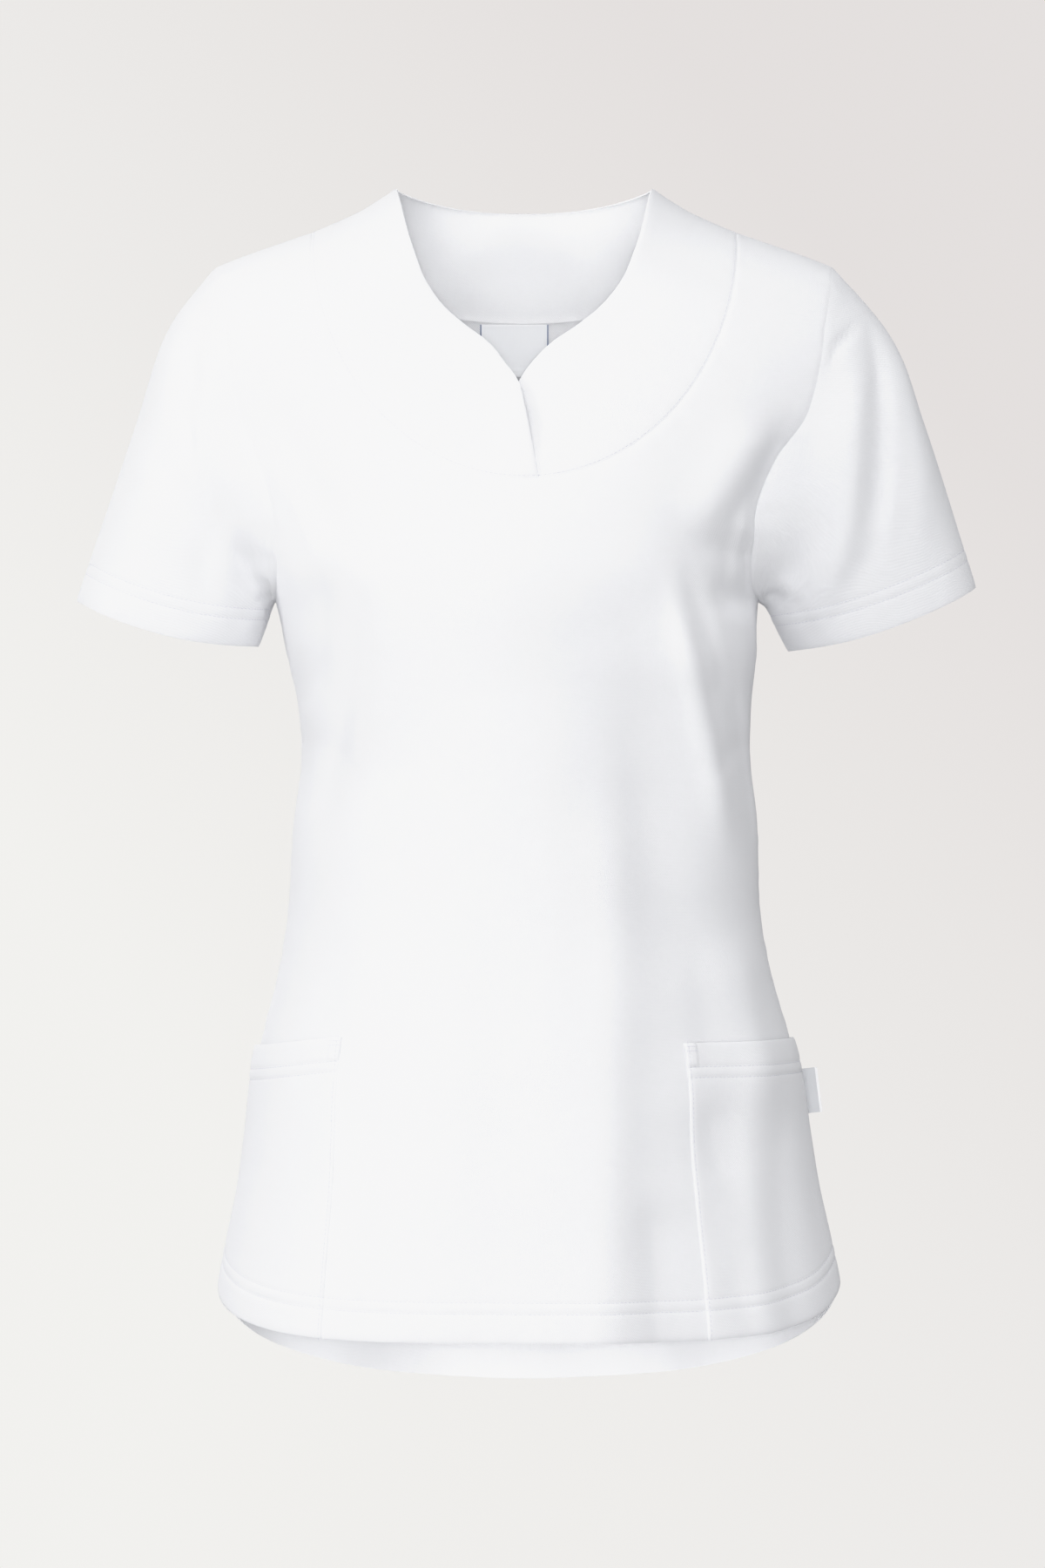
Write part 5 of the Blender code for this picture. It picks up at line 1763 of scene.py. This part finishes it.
def light_studio(lit):
    """A key from the left, partly kept off the far sleeve, a front, a low fill and lit insides."""
    for *light, pieces in LIGHTS:
        panel_light(*light, lit.get(pieces))
    world = bpy.data.worlds.new("studio")
    bpy.context.scene.world = world
    world.use_nodes = True
    look = Nodes(world.node_tree)
    way = look.split(look.add("ShaderNodeTexCoord").outputs["Generated"])
    share = look.maths("ADD", look.maths("MULTIPLY", way["Z"], 0.5), 0.5)
    glow = set_values(look.nodes["Background"], Strength=1.0)
    look.join(look.ramp(share, SURROUND_LOW, SURROUND_HIGH, SURROUND_MIDDLE), glow, "Color")


TONE = ((0.80, 0.80), (0.90, 0.885), (1.0, 0.922), (1.15, 0.938))
TONE_TOP = 0.945
TONE_REACH = 3  # how bright the scene's values may be before they all show alike


def set_tone():
    """Plain colours, with a soft shoulder that keeps lit white cloth just under pure white."""
    view = bpy.context.scene.view_settings
    view.view_transform = "Standard"
    view.use_curve_mapping = True
    tone = view.curve_mapping
    tone.clip_max_x = tone.clip_max_y = TONE_REACH
    line = tone.curves[3]
    line.points[0].location = (0, 0)
    line.points[1].location = (TONE_REACH, TONE_TOP)
    for at, value in TONE:
        line.points.new(at, value)
    for point in line.points:
        point.handle_type = "VECTOR"
    tone.update()


CAMERA_AT = (-1.1 * MM, -4.5, -0.351)
CAMERA_LENS, CAMERA_SENSOR = 163.64, 36  # in millimetres


def place_camera():
    data = bpy.data.cameras.new("camera")
    data.lens, data.sensor_width = CAMERA_LENS, CAMERA_SENSOR
    obj = add_object("camera", data)
    obj.location = CAMERA_AT
    obj.rotation_euler = (QUARTER, 0, 0)
    bpy.context.scene.camera = obj


# Putting it together


ENDS = ("right", "left")  # the wearer's


def declare(obj, node):
    """Puts a finished piece under the frame's root in place of its solid, which it hides."""
    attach(obj, "root")
    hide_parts(node)
    return obj


def beside_seam(panel, rows, gap):
    """A line over the cloth at a distance from a seam, given rows of points that leave it."""
    outer, normals = panel.outer()[rows], panel.normals[rows]
    step = np.linalg.norm(np.diff(outer, axis=0), axis=2)
    gone = np.concatenate([np.zeros((1, step.shape[1])), np.cumsum(step, axis=0)])
    points, out = [], []
    for line in range(rows.shape[1]):
        at = np.interp(gap, gone[:, line], np.arange(len(rows)))
        points.append(at_steps(outer[:, line], [at])[0])
        out.append(at_steps(normals[:, line], [at])[0])
    return np.array(points), unit(np.array(out))


def row_line(panel, numbers):
    return panel.outer()[numbers], panel.normals[numbers]


SEEN_INSIDE = ("back", "yoke_back", "label_neck")
UNFLAGGED = ("sleeve_left", "label_neck", "label_side")  # what a part of the key is kept off


def dress():
    """Builds every piece of cloth, the labels and the stitches."""
    cloth, strand = pique(), thread()
    ribbon = label_satin("label_satin", LABEL_BORDER_AT, LABEL_BORDER, 0.93)
    tab = label_satin("tab_satin", TAB_LENGTH - 1.2 * MM, TAB_BORDER, 0.66)
    pieces = {}
    bodies = (Body("front"), Body("back"))
    seams = make_seams(bodies[0])
    lines, tacks = StitchLines(), StitchLines()
    stitched = [HEM_ROWS_AT.index(row) for row in HEM_STITCHES]
    for body in bodies:
        panel, obj = build_body(body, seams, cloth)
        pieces[body.side] = declare(obj, body.side)
        for row in stitched:
            numbers = body.main_net[row]
            if body.side == "front":
                angle = body.main[row, :, 0]
                right, left = (math.radians(POCKETS[name]["hem_angle"]) for name in ENDS)
                numbers = numbers[(angle > -right) & (angle < left)]
            lines.add(*row_line(panel, numbers))
        if body.side == "back":
            numbers = body.main_net[stitched[1]]
            lines.add(panel.inner[numbers], -panel.normals[numbers])
    for name in ENDS[::-1]:
        panel, hem, obj = build_sleeve(name, seams, cloth)
        pieces["sleeve_" + name] = declare(obj, "sleeve_" + name)
        for row in stitched:
            lines.add(*row_line(panel, hem[len(HEM_ROWS_AT) - 1 - row]), closed=True)
    for name, half in zip(ENDS, ("over", "under")):
        panel, net, obj = build_yoke_front(name, half, seams, cloth)
        pieces["yoke_front_" + name] = declare(obj, "yoke_front_" + name)
        lines.add(*beside_seam(panel, net, YOKE_STITCH))
    panel, net, obj = build_yoke_back(seams, cloth)
    pieces["yoke_back"] = declare(obj, "yoke_back")
    lines.add(*beside_seam(panel, net, YOKE_STITCH))
    for name in ENDS[::-1]:
        panel, net, obj = build_pocket(name, cloth)
        pieces["pocket_" + name] = declare(obj, "pocket_" + name)
        for row in stitched:
            lines.add(*row_line(panel, net[row, 1:]))
        for down in MOUTH_STITCHES:
            row = len(net) - 1 - MOUTH_ROWS_AT.index(down)
            lines.add(*row_line(panel, net[row, 3:]))
        lines.add(*row_line(panel, net[:, POCKET_EDGE_AT.index(STITCH_BESIDE_EDGE)]))
        for row in (2, 3):
            tacks.add(*row_line(panel, net[len(net) - 1 - row, 1 : len(POCKET_EDGE_AT) - 3]))
    pieces["label_neck"] = declare(build_label_neck(ribbon), "label_neck")
    pieces["label_side"] = declare(build_label_side(tab), "label_side")
    tree = stitch_tree(strand)
    sewn = sew_lines("stitches", lines, tree, strand)
    tacked = sew_lines("tack_stitches", tacks, tree, strand, **TACK_SIZES)
    for obj in (sewn, tacked):
        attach(obj, "root")
    flagged = [obj for node, obj in pieces.items() if node not in UNFLAGGED]
    inside = [pieces[node] for node in SEEN_INSIDE]
    return {"inside": inside, "outside": flagged + [sewn, tacked]}


def main():
    set_tone()
    lit = dress()
    backdrop()
    light_studio(lit)
    place_camera()
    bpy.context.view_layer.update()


main()
